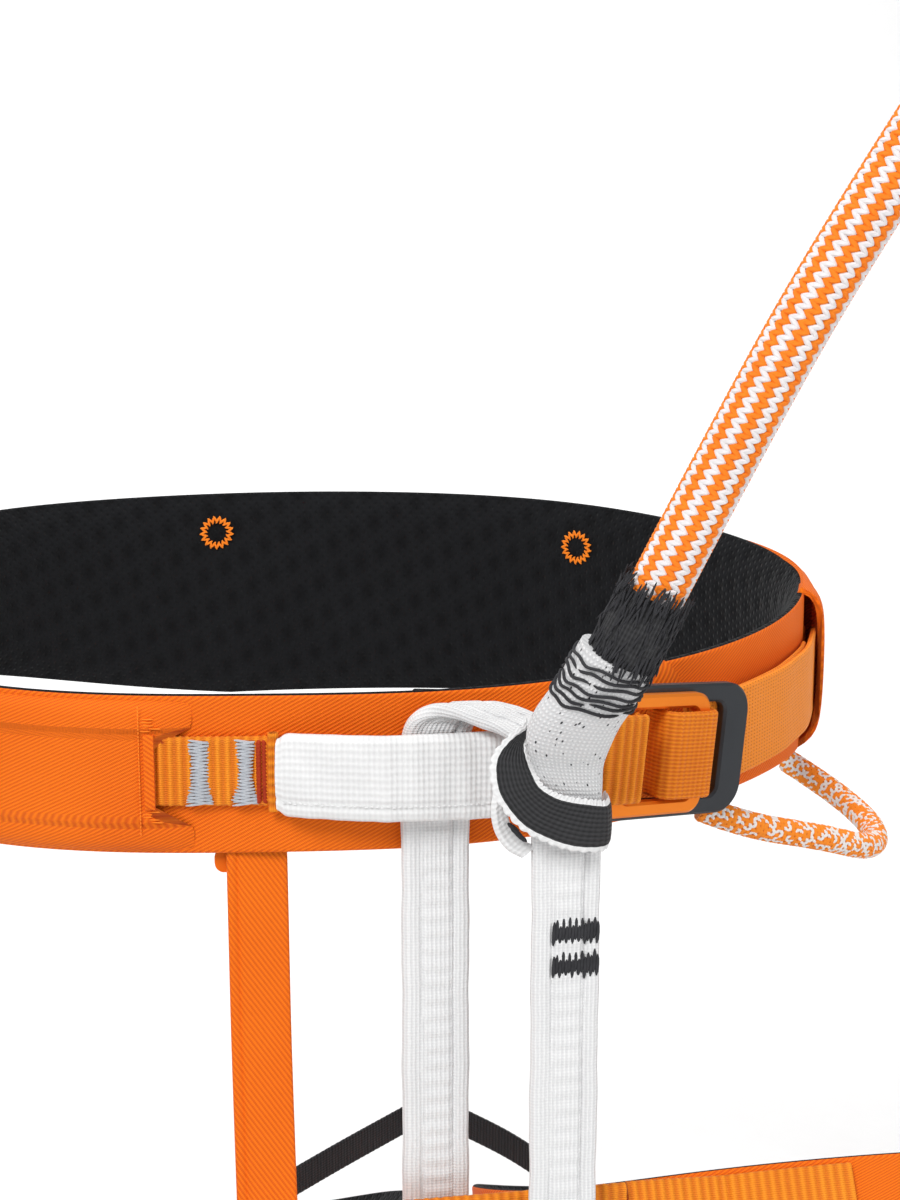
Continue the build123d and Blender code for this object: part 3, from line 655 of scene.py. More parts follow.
PAD = 5.0
stations = np.linspace(0, ROUND, 250, endpoint=False)
low, high = belt_edges(stations)
out, z, face_count = pad_section(low, high, PAD, 0.7)
ripple = 0.22 * np.sin(stations / 17)[:, None] * np.sin(z / 9 + stations[:, None] / 31)
out = out + np.where(out < 0.4 - PAD, ripple, 0)
rings = belt_points(stations[:, None], out, z)
points, faces, uvs = loft(rings, along=np.append(stations, ROUND), wrap=True)
belt_pad = add_piece("belt_pad", points, faces, [ORANGE_TWILL, BLACK_MESH], "belt", uvs,
                     pad_slots(rings.shape[1], face_count, 3, len(stations)))
stands_for(belt_pad, "orange_twill", "belt_shell", "belt_foam", "belt_lining")


# Twill cover over the load webbing, round the back from the strap's raised mouth to the tie-in slot.
def mouth_station(t):
    """Station of the mouth's edge, curved back towards the belt's two edges."""
    return RIGHT_HEM + 4.6 - 9.5 * t**2


TOP_INSET, LOW_INSET = 0.9, 0.2     # how far inside the belt's two edges the cover stops
MOUTH_STAND, MOUTH_FADE = 2.6, 48   # how far it stands up at the mouth, and over what length


def cover_rings(first, last, thick, lift, rows=150):
    """Rings of a cloth laid on the belt and turned in at its edges; t runs from -1 to 1 upwards.

    The cloth stops just inside both edges, and stands above the upper one near the strap's mouth.
    """
    t = np.linspace(-1, 1, 27)
    share = np.linspace(0, 1, rows)[:, None]
    station = first(t) + (last(t) - first(t)) * share
    lo, hi = belt_edges(station)
    bend = np.abs(t)**9
    stand = MOUTH_STAND * np.exp(-(np.clip(station - RIGHT_HEM, 0, None) / MOUTH_FADE)**2)
    past_edge = np.where(t > 0, -TOP_INSET + stand, -LOW_INSET)
    z = (lo + hi) / 2 + ((hi - lo) / 2 + past_edge) * np.sign(t) * np.abs(t)**0.9
    out = lift(station, t, z) * (1 - bend) - np.where(t > 0, 0.5, 0.6) * bend
    inner = out - thick * (1 - 0.4 * bend)
    inner_z = z - 0.9 * thick * np.sign(t) * bend
    ring_station = np.concatenate([station, station[:, ::-1]], 1)
    ring_out = np.concatenate([out, inner[:, ::-1]], 1)
    ring_z = np.concatenate([z, inner_z[:, ::-1]], 1)
    return belt_points(ring_station, ring_out, ring_z), station.mean(1)


def cover_end(t):
    """Station where the cover ends; its middle is cut back so that the tie-in webbing can come out."""
    return END_COVER + 9 * np.clip((np.abs(t) - 0.50) / 0.12, 0, 1)


def cover_lift(station, t, z):
    """How far the cover stands off the belt; it flares at the mouth and lies down at the slot."""
    mouth = station - mouth_station(t)
    flare = 2.9 * np.exp(-(np.clip(mouth, 0, None) / 11)**2) * (1 - t**2)**0.6
    taper = np.clip((END_COVER + 9 - station) / 12, 0, 1)
    return 0.35 + 2.45 * taper**0.7 + flare


rings, cover_run = cover_rings(lambda t: mouth_station(t) + 4, cover_end, 1.0, cover_lift)
points, faces, uvs = loft(rings, along=cover_run)
belt_cover_cloth = add_piece("belt_cover_cloth", points, faces, [ORANGE_TWILL], "belt", uvs)
stands_for(belt_cover_cloth, "orange_twill", "belt_cover")

MOUTH_HEM = 7.4


def hem_lift(station, t, z):
    """The rolled hem swells a little above the cover."""
    share = np.clip((station - mouth_station(t)) / MOUTH_HEM, 0, 1)
    return cover_lift(station, t, z) + 0.35 * np.sin(share * pi)**0.5


rings, hem_run = cover_rings(mouth_station, lambda t: mouth_station(t) + MOUTH_HEM, 1.7, hem_lift, rows=14)
points, faces, uvs = loft(rings, along=hem_run)
mouth_hem = add_piece("cover_mouth_hem", points, faces, [ORANGE_TWILL], "belt", uvs)
stands_for(mouth_hem, "orange_twill", "cover_hem_right")

# Free end of the left wing, lying over the right wing under the buckle.
def tongue_start(t):
    return SHEATH_END + 12 + 0 * t


def tongue_end(t):
    return TONGUE_END + 2 - 9 * np.abs(t)**3


def tongue_lift(station, t, z):
    return 1.75 - 0.9 * np.clip((station - 50) / 8, 0, 1)**2


rings, tongue_run = cover_rings(tongue_start, tongue_end, 1.2, tongue_lift, rows=30)
points, faces, uvs = loft(rings, along=tongue_run)
tongue = add_piece("belt_tongue_cloth", points, faces, [ORANGE_TWILL], "belt", uvs)
stands_for(tongue, "orange_twill", "belt_tongue")


# ---------------------------------------------------------------- webbing on the belt
def belt_strap(name, first, last, out, low, high, thick, material, step, relief=None, scallop=None,
               sag=0.0):
    """A strap that follows the belt; out may be a function of the station, and sag lowers its far end."""
    s = np.linspace(first, last, max(6, int((last - first) / step)))
    lift = out(s) if callable(out) else out
    middle = (low + high) / 2 - sag * (s - first) / (last - first)
    return ribbon(name, belt_points(s, lift, middle), (0, 0, 1), high - low, thick, material, "belt",
                  relief, scallop)


def picot(pitch, amount):
    """Small loops along both edges of a webbing."""
    return lambda s: 1 + amount * np.abs(np.sin(pi * s / pitch))


def tie_in_relief(w, s):
    """Ribs across all but the edges, and a step up where the webbing goes under the sheath."""
    return 0.22 * np.sin(2 * pi * s / 2.1) * (np.abs(w) < 0.40) + 0.35 * np.clip((s - 23.3) / 1.2, 0, 1)


load_strap = belt_strap("load_webbing_strap", RIGHT_HEM + 12, END_COVER - 1, 0.8, -12.3, 7.8, 1.1,
                        STRAP_WEBBING, 3)
stands_for(load_strap, "orange_webbing", "load_webbing")

tie_in = belt_strap("tie_in_ribbed", LEFT_HEM - 0.5, SHEATH_START + 1.4, 1.0, -8.4, 7.0, 1.5,
                    TIE_IN_WEBBING, 0.4, tie_in_relief, picot(1.3, 0.035))
stands_for(tie_in, "orange_webbing", "tie_in_webbing")


def zigzag_tack(spot, low, high, half_low, half_mid, half_high, rows):
    """Centres, aims, outward directions and lengths of dense stitches, wider at both ends."""
    t = np.linspace(0, 1, rows)
    half = np.where(t < 0.5, half_low + (half_mid - half_low) * np.minimum(1, t * 3.2),
                    half_high + (half_mid - half_high) * np.minimum(1, (1 - t) * 3.2))
    s = spot + chance.uniform(-0.25, 0.25, rows)
    centres = belt_points(s, 2.15, low + (high - low) * t)
    tilt = np.where(np.arange(rows) % 2 == 0, 0.16, -0.16)
    aims = unit(belt_along(s) + tilt[:, None] * np.array([0, 0, 1.0]))
    return centres, aims, belt_out(s), 2 * half


tacks = [zigzag_tack(-60.4, -7.8, 6.2, 3.1, 1.9, 2.3, 38),
         zigzag_tack(-50.4, -7.8, 6.2, 3.2, 1.6, 2.2, 38)]
centres, aims, outs, long = (np.concatenate([tack[k] for tack in tacks]) for k in range(4))
bar_tacks = add_yarns("bar_tack_threads", centres, aims, outs, long, 0.33, 0.36, GREY_THREAD, "belt", 0.15)
stands_for(bar_tacks, "grey_thread", "webbing_bartacks")

rows = 17
s = np.tile([-47.5, -46.2], rows)
heights = np.repeat(np.linspace(-7.2, 5.8, rows), 2)
slant = np.tile([0.55, -0.55], rows)[:, None]
aims = unit(slant * belt_along(s) + np.array([0, 0, 1.0]))
red_stitch = add_yarns("fold_stitch_threads", belt_points(s, 2.05, heights), aims, belt_out(s),
                       1.5, 0.55, 0.4, RED_THREAD, "belt")
stands_for(red_stitch, "red_thread", "fold_stitch")

fold_lip = ribbon("tie_in_fold_lip", belt_points(np.full(30, -44.3), 2.2, np.linspace(-9.6, 8.2, 30)),
                  belt_along(-44.3), 2.4, 1.5, TIE_IN_WEBBING, "belt", rib_relief(0.12, 1.1))
stands_for(fold_lip, "orange_webbing")

# Stitched slot where the tie-in webbing comes out of the cover.
slot_hem = belt_strap("slot_hem_roll", LEFT_HEM - 1.2, LEFT_HEM + 1.0, 2.55, -9.2, 8.0, 1.3,
                      ORANGE_TWILL, 0.4)
stands_for(slot_hem, "orange_twill", "cover_hem_left")

# A row of stitches up the cover beside the slot, and loose tacks above and below it.
row_heights = np.linspace(-14.5, 14, 36)
tack_heights = np.array([8.6, 9.2, 9.9, 10.6, 11.3, -9.6, -10.2, -10.8, -11.4, -12.0])
row_count, tack_count = len(row_heights), len(tack_heights)
tack_stations = LEFT_HEM + 0.2 + chance.uniform(-1.6, 1.6, tack_count)
centres = np.vstack([belt_points(LEFT_HEM - 2.2, 2.95, row_heights),
                     belt_points(tack_stations, 2.4, tack_heights)])
aims = np.vstack([np.tile((0, 0, 1.0), (row_count, 1)), np.tile(belt_along(LEFT_HEM), (tack_count, 1))])
outs = np.tile(belt_out(LEFT_HEM), (row_count + tack_count, 1))
long = np.repeat([0.62, 2.4], [row_count, tack_count])
slot_stitches = add_yarns("slot_stitches", centres, aims, outs, long, 0.16, 0.2, ORANGE_THREAD, "belt")
stands_for(slot_stitches, "orange_thread")


# White quilted sheath that the belay loop hangs on.
def sheath_lift(s):
    """Height of the sheath off the belt; it rises from its sewn end."""
    return 3.0 + 4.6 * np.clip((s - SHEATH_START) / 24, 0, 1)**0.8


def sheath_relief(w, s):
    """Soft padded face with light creases and a sewn row near the lower edge."""
    swell = 0.7 - 2.6 * w**2
    crease = 0.22 * np.sin(s / 2.1 + 6 * w) * np.sin(s / 4.3 - 3 * w) + 0.10 * np.sin(s / 0.9)
    return swell + crease - 0.5 * np.exp(-((w + 0.30) / 0.018)**2)


def sheath_width(s):
    """The sheath widens a little along its length and is rounded in at its sewn end."""
    return 1 + 0.05 * np.clip(s / 36, 0, 1) - 0.14 * np.exp(-(s / 1.3)**2)


sheath = belt_strap("sheath_tape", SHEATH_START + 1.2, SHEATH_END, sheath_lift, -10.3, 8.5, 3.4,
                    WHITE_TAPE, 0.4, sheath_relief, sheath_width, sag=1.0)
stands_for(sheath, "white_sheath", "tie_in_sheath")
s = np.arange(-42, 10, 1.15)
heights = -6.7 - 0.022 * (s + 44) + 0.12 * np.sin(s * 2.1)
sheath_row = add_yarns("sheath_stitches", belt_points(s, sheath_lift(s) + 2.0, heights), belt_along(s),
                       belt_out(s), 0.8, 0.2, 0.24, WHITE_THREAD, "belt")
stands_for(sheath_row, "white_sheath")


# ---------------------------------------------------------------- belay loop
BELAY_BACK, BELAY_FRONT = np.array([-16.5, -93.0]), np.array([10.0, -107.2])
BAND = 15.0
run = unit(BELAY_FRONT - BELAY_BACK)
reach = np.linalg.norm(BELAY_FRONT - BELAY_BACK) / 2
arch = np.linspace(0, pi, 26)
over_sheath = smooth_line([(-reach, -4), (-reach, 5), (-13.2, 10.4), (-9, 12.9), (-3.5, 12.7), (2, 11.2),
                           (7, 9.8), (11.5, 7.0), (14.4, 2.6), (reach, -4)], 0.6)
down = np.linspace(-6, -110, 56)
outline = np.vstack([over_sheath,
                     [(reach, k) for k in down],
                     [(reach * cos(a), -114.0 - 6.5 * sin(a)) for a in arch],
                     [(-reach, k) for k in down[::-1]]])
middle = (BELAY_BACK + BELAY_FRONT) / 2
belay_line = np.stack([middle[0] + run[0] * outline[:, 0] + BAND / 2, middle[1] + run[1] * outline[:, 0],
                       outline[:, 1]], 1)
belay_line = even(np.vstack([belay_line, belay_line[:1]]), 0.7)[:-1]


def belay_relief(w, s):
    """Two creases along the webbing and soft ribs across its middle."""
    wander = 0.012 * np.sin(s / 9)
    crease = -0.9 * (np.exp(-((w + 0.22 + wander) / 0.022)**2) + np.exp(-((w - 0.26 + wander) / 0.022)**2))
    ribs = 0.16 * np.sin(2 * pi * s / 3.9) * (np.abs(w - 0.02) < 0.2)
    return crease + ribs + 0.25 - 0.6 * w**2


belay = ribbon("belay_webbing", belay_line, (1, 0, 0), BAND + 0.4, 2.8, WHITE_LOOP, "belt", belay_relief,
               lambda s: 1 + 0.012 * np.sin(s / 4.7) + 0.006 * np.sin(s / 1.9), wrap=True)
stands_for(belay, "white_sheath", "belay_loop")

teeth = np.linspace(14.6, 24.4, 15)
marks, mark_long = [], []
for height in (-35.0, -42.8):
    for k, x in enumerate(teeth):
        marks.append((x, -108.95, height + (0.7 if k % 2 else -0.3) + chance.uniform(-0.3, 0.3)))
        mark_long.append(5.0 + chance.uniform(-0.5, 0.5))
mark_aims = unit(np.tile((0.05, 0, 1.0), (len(marks), 1)))
mark_outs = np.tile((0, -1.0, 0), (len(marks), 1))
belay_marks = add_yarns("belay_zigzag_marks", marks, mark_aims, mark_outs, mark_long, 0.46, 0.34,
                        BLACK_THREAD, "belt", 0.2)
stands_for(belay_marks, "black_weave", "belay_loop_marks")


# ---------------------------------------------------------------- lanyard end and hitch
def paired_rings(left, right, thick, count=28, step=1.0):
    """Rings of a flattened tube whose two edges run along the left and right points."""
    pairs = smooth_line(np.hstack([np.asarray(left, float), np.asarray(right, float)]), step)
    a, b = pairs[:, :3], pairs[:, 3:]
    centre, half = (a + b) / 2, (b - a) / 2
    tangent = unit(np.gradient(centre, axis=0))
    out = unit(np.cross(half, tangent))
    depth = np.interp(np.linspace(0, 1, len(a)), np.linspace(0, 1, len(thick)), thick)[:, None, None] / 2
    turn = np.arange(count) * 2 * pi / count
    wide = np.sign(np.cos(turn)) * np.abs(np.cos(turn))**0.8
    deep = np.sign(np.sin(turn)) * np.abs(np.sin(turn))**0.8
    return centre[:, None] + half[:, None] * wide[None, :, None] + out[:, None] * deep[None, :, None] * depth


SLEEVE_LEFT = [(16.6, -123.5, 33.3), (13.9, -122.3, 28.1), (11.5, -120.5, 23.0), (8.0, -118.2, 17.3),
               (6.6, -115.8, 11.7), (8.2, -113.2, 5.6), (10.7, -111.6, 0.0), (13.6, -110.7, -5.0)]
SLEEVE_RIGHT = [(31.0, -123.5, 27.5), (30.0, -122.3, 23.8), (28.4, -120.5, 19.5), (26.2, -118.2, 14.4),
                (24.8, -115.8, 9.2), (24.1, -113.2, 4.2), (24.3, -111.6, -1.1), (24.4, -110.7, -6.0)]
sleeve_rings = paired_rings(SLEEVE_LEFT, SLEEVE_RIGHT, [14.2, 13.0, 11.4, 9.2, 7.0, 4.8, 3.2, 2.4])
points, faces, uvs = loft(sleeve_rings)
sleeve = add_piece("lanyard_sleeve_knit", points, faces, [FLECKED], "belt", uvs)
stands_for(sleeve, "white_sheath", "lanyard_sleeve")


def on_rings(rings, spot, turn, lift):
    """Points on a lofted tube: spot along it in rings, turn round it from 0 to 1, lifted off it."""
    size = rings.shape[1]
    row, column = np.clip(spot, 0, len(rings) - 1.001), np.mod(turn, 1) * size
    i, j = row.astype(int), column.astype(int)
    fi, fj = (row - i)[:, None], (column - j)[:, None]
    a = rings[i, j % size] * (1 - fj) + rings[i, (j + 1) % size] * fj
    b = rings[i + 1, j % size] * (1 - fj) + rings[i + 1, (j + 1) % size] * fj
    place = a * (1 - fi) + b * fi
    return place + unit(place - rings[i].mean(1)) * lift


def thread_tube(points, radius, around=6):
    line = np.asarray(points)
    tangent, side, front = carried_frame(line)
    turn = np.arange(around) * 2 * pi / around
    taper = radius * np.clip(np.minimum(np.arange(len(line)), np.arange(len(line))[::-1]) / 2 + 0.3, 0, 1)
    return line[:, None] + taper[:, None, None] * (np.cos(turn)[None, :, None] * side[:, None]
                                                  + np.sin(turn)[None, :, None] * front[:, None])


def add_threads(name, lines, radius, material, body):
    all_points, all_faces, shift = [], [], 0
    for line in lines:
        points, faces, _ = loft(thread_tube(line, radius))
        all_points.append(points)
        all_faces += [tuple(q + shift for q in face) for face in faces]
        shift += len(points)
    return add_piece(name, np.vstack(all_points), all_faces, [material], body)


# Wavy black whipping, sewn round the sleeve in broken rounds.
whipping_lines = []
for lap in range(7):
    ends = np.concatenate([[0.0], np.sort(chance.uniform(0.1, 0.95, 2)), [1.0]])
    for start, stop in zip(ends, ends[1:]):
        stop = max(stop - 0.015, start + 0.04)
        turn = np.linspace(start, stop, max(8, int(60 * (stop - start))))
        spot = (2.6 + 2.15 * lap + 0.42 * np.sin(turn * 43 + lap) + chance.uniform(-0.3, 0.3)
                + 1.1 * (turn - start))
        whipping_lines.append(on_rings(sleeve_rings, spot, turn, 0.28))
whipping = add_threads("lanyard_whipping_threads", whipping_lines, 0.36, BLACK_THREAD, "belt")
stands_for(whipping, "black_weave", "lanyard_whipping")

# Bristly black collar where the sleeve meets the rope.
rope_start = np.array(ROPE_ROUTE[0])
rope_aim = unit(np.array(ROPE_ROUTE[1]) - rope_start)
rope_side = unit(np.cross(rope_aim, (0.0, -1.0, 0.0)))
rope_front = np.cross(rope_side, rope_aim)
turn = np.arange(40) * 2 * pi / 40
collar_rings = []
for back, radius in ((-1.5, 6.6), (0.5, 7.0), (3, 7.25), (6, 7.35), (9, 7.4), (12, 7.3), (13.5, 7.1)):
    collar_rings.append(rope_start - rope_aim * back + radius * (np.cos(turn)[:, None] * rope_side
                                                                 + np.sin(turn)[:, None] * rope_front))
points, faces, uvs = loft(collar_rings)
collar = add_piece("lanyard_collar_knit", points, faces, [BLACK_WEAVE], "belt", uvs)
stands_for(collar, "black_weave", "lanyard_collar")

bristle_count = 520
where = chance.uniform(0, 2 * pi, bristle_count)
back = np.concatenate([chance.uniform(-3.2, 1.0, 200), chance.uniform(1.0, 11.0, 180),
                       chance.uniform(10.5, 15.0, 140)])
radial = np.cos(where)[:, None] * rope_side + np.sin(where)[:, None] * rope_front
lean = chance.normal(0, 0.16, (bristle_count, 3))
aims = unit(rope_aim + lean)
lifts = 7.3 + chance.uniform(0, 0.35, bristle_count)
bristle_outs = unit(radial - aims * (radial * aims).sum(1)[:, None])
centres = rope_start - rope_aim * back[:, None] + radial * lifts[:, None]
bristles = add_yarns("lanyard_collar_bristles", centres, aims, bristle_outs,
                     chance.uniform(2.2, 5.0, bristle_count), 0.26, 0.24, BLACK_THREAD, "belt", 0.1)

# Shrink tube below the eye, stepped where it grips the rope.
end_aim = unit(np.array(ROPE_ROUTE[-1]) - np.array(ROPE_ROUTE[-2]))
end_side = unit(np.cross(end_aim, (0.0, -1.0, 0.0)))
end_front = np.cross(end_side, end_aim)
tube_rings = []
for ahead, radius in ((0.1, 6.9), (0.3, 7.6), (1.5, 8.0), (4, 8.15), (7.5, 8.2), (11, 8.15), (13.6, 7.9),
                      (14.9, 7.0)):
    tube_rings.append(np.array(ROPE_ROUTE[-1]) + end_aim * ahead
                      + radius * (np.cos(turn)[:, None] * end_side + np.sin(turn)[:, None] * end_front))
points, faces, uvs = loft(tube_rings)
end_tube = add_piece("lanyard_shrink_tube", points, faces, [BLACK_SHRINK], "belt", uvs)
stands_for(end_tube, "black_shrink", "lanyard_end_sleeve")

# Black woven eye of the lanyard, hitched round the belay loop, with white scalloped edges.
BAND_OUTER = [(9.4, -102.5, 11.6), (8.0, -105.8, 11.0), (4.0, -109.3, 9.3), (1.0, -111.6, 6.7),
              (0.2, -112.8, 3.2), (1.3, -113.6, -2.0), (5.8, -114.2, -8.1), (11.5, -114.2, -11.7),
              (16.8, -114.0, -13.8), (21.5, -113.4, -14.7), (24.9, -111.8, -15.0), (26.4, -108.5, -15.0),
              (26.6, -104.0, -14.6)]
BAND_INNER = [(9.6, -102.5, 8.6), (8.6, -105.8, 8.4), (7.7, -109.3, 7.3), (8.1, -111.6, 4.9),
              (9.0, -112.8, 2.5), (10.5, -113.6, -0.1), (13.7, -114.2, -2.1), (17.2, -114.2, -3.2),
              (20.8, -114.0, -3.9), (22.9, -113.4, -4.4), (24.9, -111.8, -5.0), (26.4, -108.5, -5.1),
              (26.6, -104.0, -5.1)]


def band_ribbon(name, edges, inset, lift, thick, material, scallop, body="belt"):
    """A strap between two edge lines, its edges moved in by inset and its face lifted."""
    pairs = smooth_line(np.hstack([np.asarray(edges[0], float), np.asarray(edges[1], float)]), 0.35)
    a, b = pairs[:, :3], pairs[:, 3:]
    side = unit(b - a)
    centre = (a + b) / 2
    out = unit(np.cross(unit(np.gradient(centre, axis=0)), side))
    out = out * np.sign((out * (centre - np.array([17.0, -104.0, -2.0]))).sum(1).mean())
    run = lengths_along(centre)
    wave = scallop * np.abs(np.sin(pi * run / 1.9))[:, None]
    left, right = a + side * (inset - wave), b - side * (inset - wave)
    count = 15
    share = np.linspace(0, 1, count)
    crown = np.sin(share * pi)**0.35
    face = left[:, None] * (1 - share)[None, :, None] + right[:, None] * share[None, :, None]
    front = face + out[:, None] * (lift + thick * 0.5 * crown)[None, :, None]
    back = face + out[:, None] * (lift - thick * 0.5 * crown)[None, :, None]
    rings = np.concatenate([front, back[:, ::-1][:, 1:-1]], 1)
    points, faces, uvs = loft(rings)
    return add_piece(name, points, faces, [material], body, uvs)


band_edge = band_ribbon("hitch_band_edge", (BAND_OUTER, BAND_INNER), -0.35, 0.0, 1.2, WHITE_TAPE, 0.45)
band_face = band_ribbon("hitch_band_weave", (BAND_OUTER, BAND_INNER), 0.55, 0.35, 1.1, BLACK_WEAVE, 0.12)
stands_for(band_face, "black_weave", "hitch_band")

# Small fold of the white tape below the hitch, with a black thread bar.
fold_line = smooth_line([(3.2, -106.6, -1.5), (2.4, -107.6, -6.0), (3.2, -108.0, -10.5), (5.6, -108.2, -14.2),
                         (9.0, -108.0, -16.4)], 0.5)
small_fold = ribbon("hitch_small_fold", fold_line, unit(np.array([0.75, 0.55, 0.35])), 4.4, 1.8, WHITE_TAPE,
                    "belt")
small_bar = add_yarns("hitch_small_bar", [(5.3, -109.6, -10.2), (6.0, -109.7, -11.3), (6.9, -109.8, -12.3)],
                      unit(np.tile((0.75, 0, -0.65), (3, 1))), np.tile((0, -1.0, 0), (3, 1)), 3.4, 0.55, 0.4,
                      BLACK_THREAD, "belt")

# ---------------------------------------------------------------- buckle straps
BUCKLE = np.array([46.78, -82.046, -2.2])
BUCKLE_X = np.array([0.88023, 0.45863, -0.12187])
BUCKLE_Z = np.array([0.46207, -0.88684, 0.0])
BUCKLE_Y = np.cross(BUCKLE_Z, BUCKLE_X)


def in_buckle(pairs):
    """World points of (u, out) pairs in the buckle's section."""
    pairs = np.asarray(pairs, float)
    return BUCKLE + pairs[:, :1] * BUCKLE_X + pairs[:, 1:] * BUCKLE_Z


anchor_path = smooth_line(in_buckle([(-14.4, 7.4), (-18, 7.5), (-22, 7.3), (-24.6, 6.3), (-25.6, 4.0),
                                     (-25.6, 1.5), (-24.8, -0.7), (-22.5, -1.6), (-19, -1.6), (-16.4, -0.9),
                                     (-15.5, 1.2), (-15.4, 3.6), (-15.5, 5.8)]), 0.4)
anchor = ribbon("anchor_ribbed", anchor_path, BUCKLE_Y, 20.0, 1.7, ANCHOR_WEBBING, "belt",
                lambda w, s: 0.24 * np.sin(2 * pi * s / 2.3) * (np.abs(w) < 0.44), picot(1.2, 0.02))
stands_for(anchor, "orange_webbing", "buckle_anchor_webbing")

fold_path = smooth_line(in_buckle([(-5.8, -1.2), (-5.85, 2.5), (-5.6, 5.2), (-4.0, 6.6), (-1, 6.9), (4, 6.9),
                                   (7.4, 6.6), (8.7, 5.0), (8.8, 2.0), (8.7, -1.0)]), 0.5)
fold = ribbon("strap_fold_woven", fold_path, BUCKLE_Y, 20.0, 1.4, FOLD_WEBBING, "buckle_inner",
              rib_relief(0.10, 1.8), picot(1.2, 0.02))
stands_for(fold, "orange_webbing", "strap_fold")


def strap_run(base, last):
    near = in_buckle([(8.5, base), (23, base - 0.3)])
    near[:, 2] = -2.3
    rises = [(90, 6.8), (104, 5.4), (118, 4.5), (last, 4.0)]
    far = np.array([belt_points(s, base + rise, -2.3) for s, rise in rises])
    return smooth_line(np.vstack([near, far]), 0.8)


strap = ribbon("adjust_strap_woven", strap_run(-1.15, RIGHT_HEM + 6), (0, 0, 1), 21.6, 1.3, STRAP_WEBBING,
               "belt", lambda w, s: 0.12 * (np.abs(w) > 0.46), picot(1.3, 0.012))
stands_for(strap, "orange_webbing", "adjust_strap")
tail = ribbon("strap_tail_woven", strap_run(-3.05, RIGHT_HEM - 8), (0, 0, 1), 20.6, 1.2, STRAP_WEBBING,
              "belt")
stands_for(tail, "orange_webbing", "strap_tail")


# ---------------------------------------------------------------- stitched rings on the lining
def ring_stitches():
    centres, aims, outs = [], [], []
    for station, height in ((247, 15.5), (367, 18.0)):
        along, out = belt_along(station), -belt_out(station)
        middle = belt_points(station, -5.95, height)
        for k in range(34):
            a = 2 * pi * k / 34
            radial = cos(a) * along + sin(a) * np.array([0, 0, 1.0])
            round_way = -sin(a) * along + cos(a) * np.array([0, 0, 1.0])
            centres.append(middle + radial * (3.9 if k % 2 else 4.3))
            aims.append(radial + (0.45 if k % 2 else -0.45) * round_way)
            outs.append(out)
    return centres, unit(np.array(aims)), outs


centres, aims, outs = ring_stitches()
rings_stitched = add_yarns("lining_ring_threads", centres, aims, outs, 2.2, 0.36, 0.34, ORANGE_THREAD, "belt",
                           0.1)
stands_for(rings_stitched, "orange_thread", "back_stitch_rings")

# ---------------------------------------------------------------- leg loops
MIDDLE_X, LEG_A, LEG_B, LEG_APART, LEG_DROP = 5, 76, 80, 84, radians(33)
LEG_Y = np.array([0, cos(LEG_DROP), -sin(LEG_DROP)])
LEG_Z = np.array([0, sin(LEG_DROP), cos(LEG_DROP)])
LEG_HALF = smooth_line([(-85, 8.5), (-44, 10.0), (24, 19.0), (85, 21.0)], 2)


def leg_points(side, turn, out, z):
    """Points on a leg loop: turn round it, out of its face and up its band."""
    centre = np.array([MIDDLE_X + side * LEG_APART, -101 + LEG_B * cos(LEG_DROP),
                       -107 - LEG_B * sin(LEG_DROP)])
    x, y = (LEG_A + out) * np.sin(turn), -(LEG_B + out) * np.cos(turn)
    return centre + x[..., None] * np.array([1.0, 0, 0]) + y[..., None] * LEG_Y + z[..., None] * LEG_Z


for side, word in ((-1, "right"), (1, "left")):
    body = f"leg_loop_{word}"
    turn = np.linspace(0, 2 * pi, 200, endpoint=False)
    half = np.interp(-LEG_B * np.cos(turn), LEG_HALF[:, 0], LEG_HALF[:, 1])
    out, z, face_count = pad_section(-half, half, PAD, 0.6)
    turns = np.broadcast_to(turn[:, None], out.shape)
    rings = leg_points(side, turns, out, z)
    points, faces, uvs = loft(rings, wrap=True)
    leg = add_piece(f"leg_pad_{word}", points, faces, [ORANGE_TWILL, BLACK_MESH], body, uvs,
                    pad_slots(rings.shape[1], face_count, 4, len(turn)))
    stands_for(leg, "orange_twill", f"leg_shell_{word}", f"leg_foam_{word}", f"leg_lining_{word}")
    # Front webbing from the leg loop to the bridge, sewn on with a box of stitches.
    reach = -side * 54
    turn = np.linspace(0, np.arcsin(reach / LEG_A), 70)
    tab_line = leg_points(side, turn, 1.0, 0 * turn)
    past = np.clip((np.abs(np.linspace(0, reach, 70)) - 30) / 24, 0, 1)
    tab_line = tab_line + past[:, None]**2 * 0.6 * -LEG_Y
    straight = np.linspace(tab_line[34], [MIDDLE_X + side * 30, -100.6, -107.2], 40)
    tab_line = even(np.vstack([tab_line[:34], straight]), 0.7)
    tab = ribbon(f"leg_front_webbing_{word}", tab_line, LEG_Z, 14, 1.4, ANCHOR_WEBBING, body,
                 rib_relief(0.1, 2.3), picot(1.3, 0.02))
    stands_for(tab, "orange_webbing", f"leg_tab_{word}")

bridge_line = np.stack([np.linspace(-22, 34, 70), np.full(70, -100.0), np.full(70, -107.0)], 1)
bridge = ribbon("leg_bridge_webbing", bridge_line, (0, 0, 1), 14, 2.6, ANCHOR_WEBBING, "belt",
                rib_relief(0.12, 2.3), picot(1.3, 0.02))
stands_for(bridge, "orange_webbing", "leg_bridge")

# ---------------------------------------------------------------- riser and rear elastic
riser_line = smooth_line([(-48.0, -85.2, -17.5), (-48.0, -86.4, -33), (-48.0, -88.3, -60),
                          (-48.0, -92.0, -80), (-48.0, -96.2, -97), (-48.0, -99.0, -104)], 1.2)
riser = ribbon("riser_twill", riser_line, (1, 0, 0), 13.6, 1.6, ORANGE_TWILL_DOWN, None,
               lambda w, s: -0.5 * np.exp(-((w + 0.34) / 0.03)**2))
stands_for(riser, "orange_twill", "riser_strap")
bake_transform(riser)

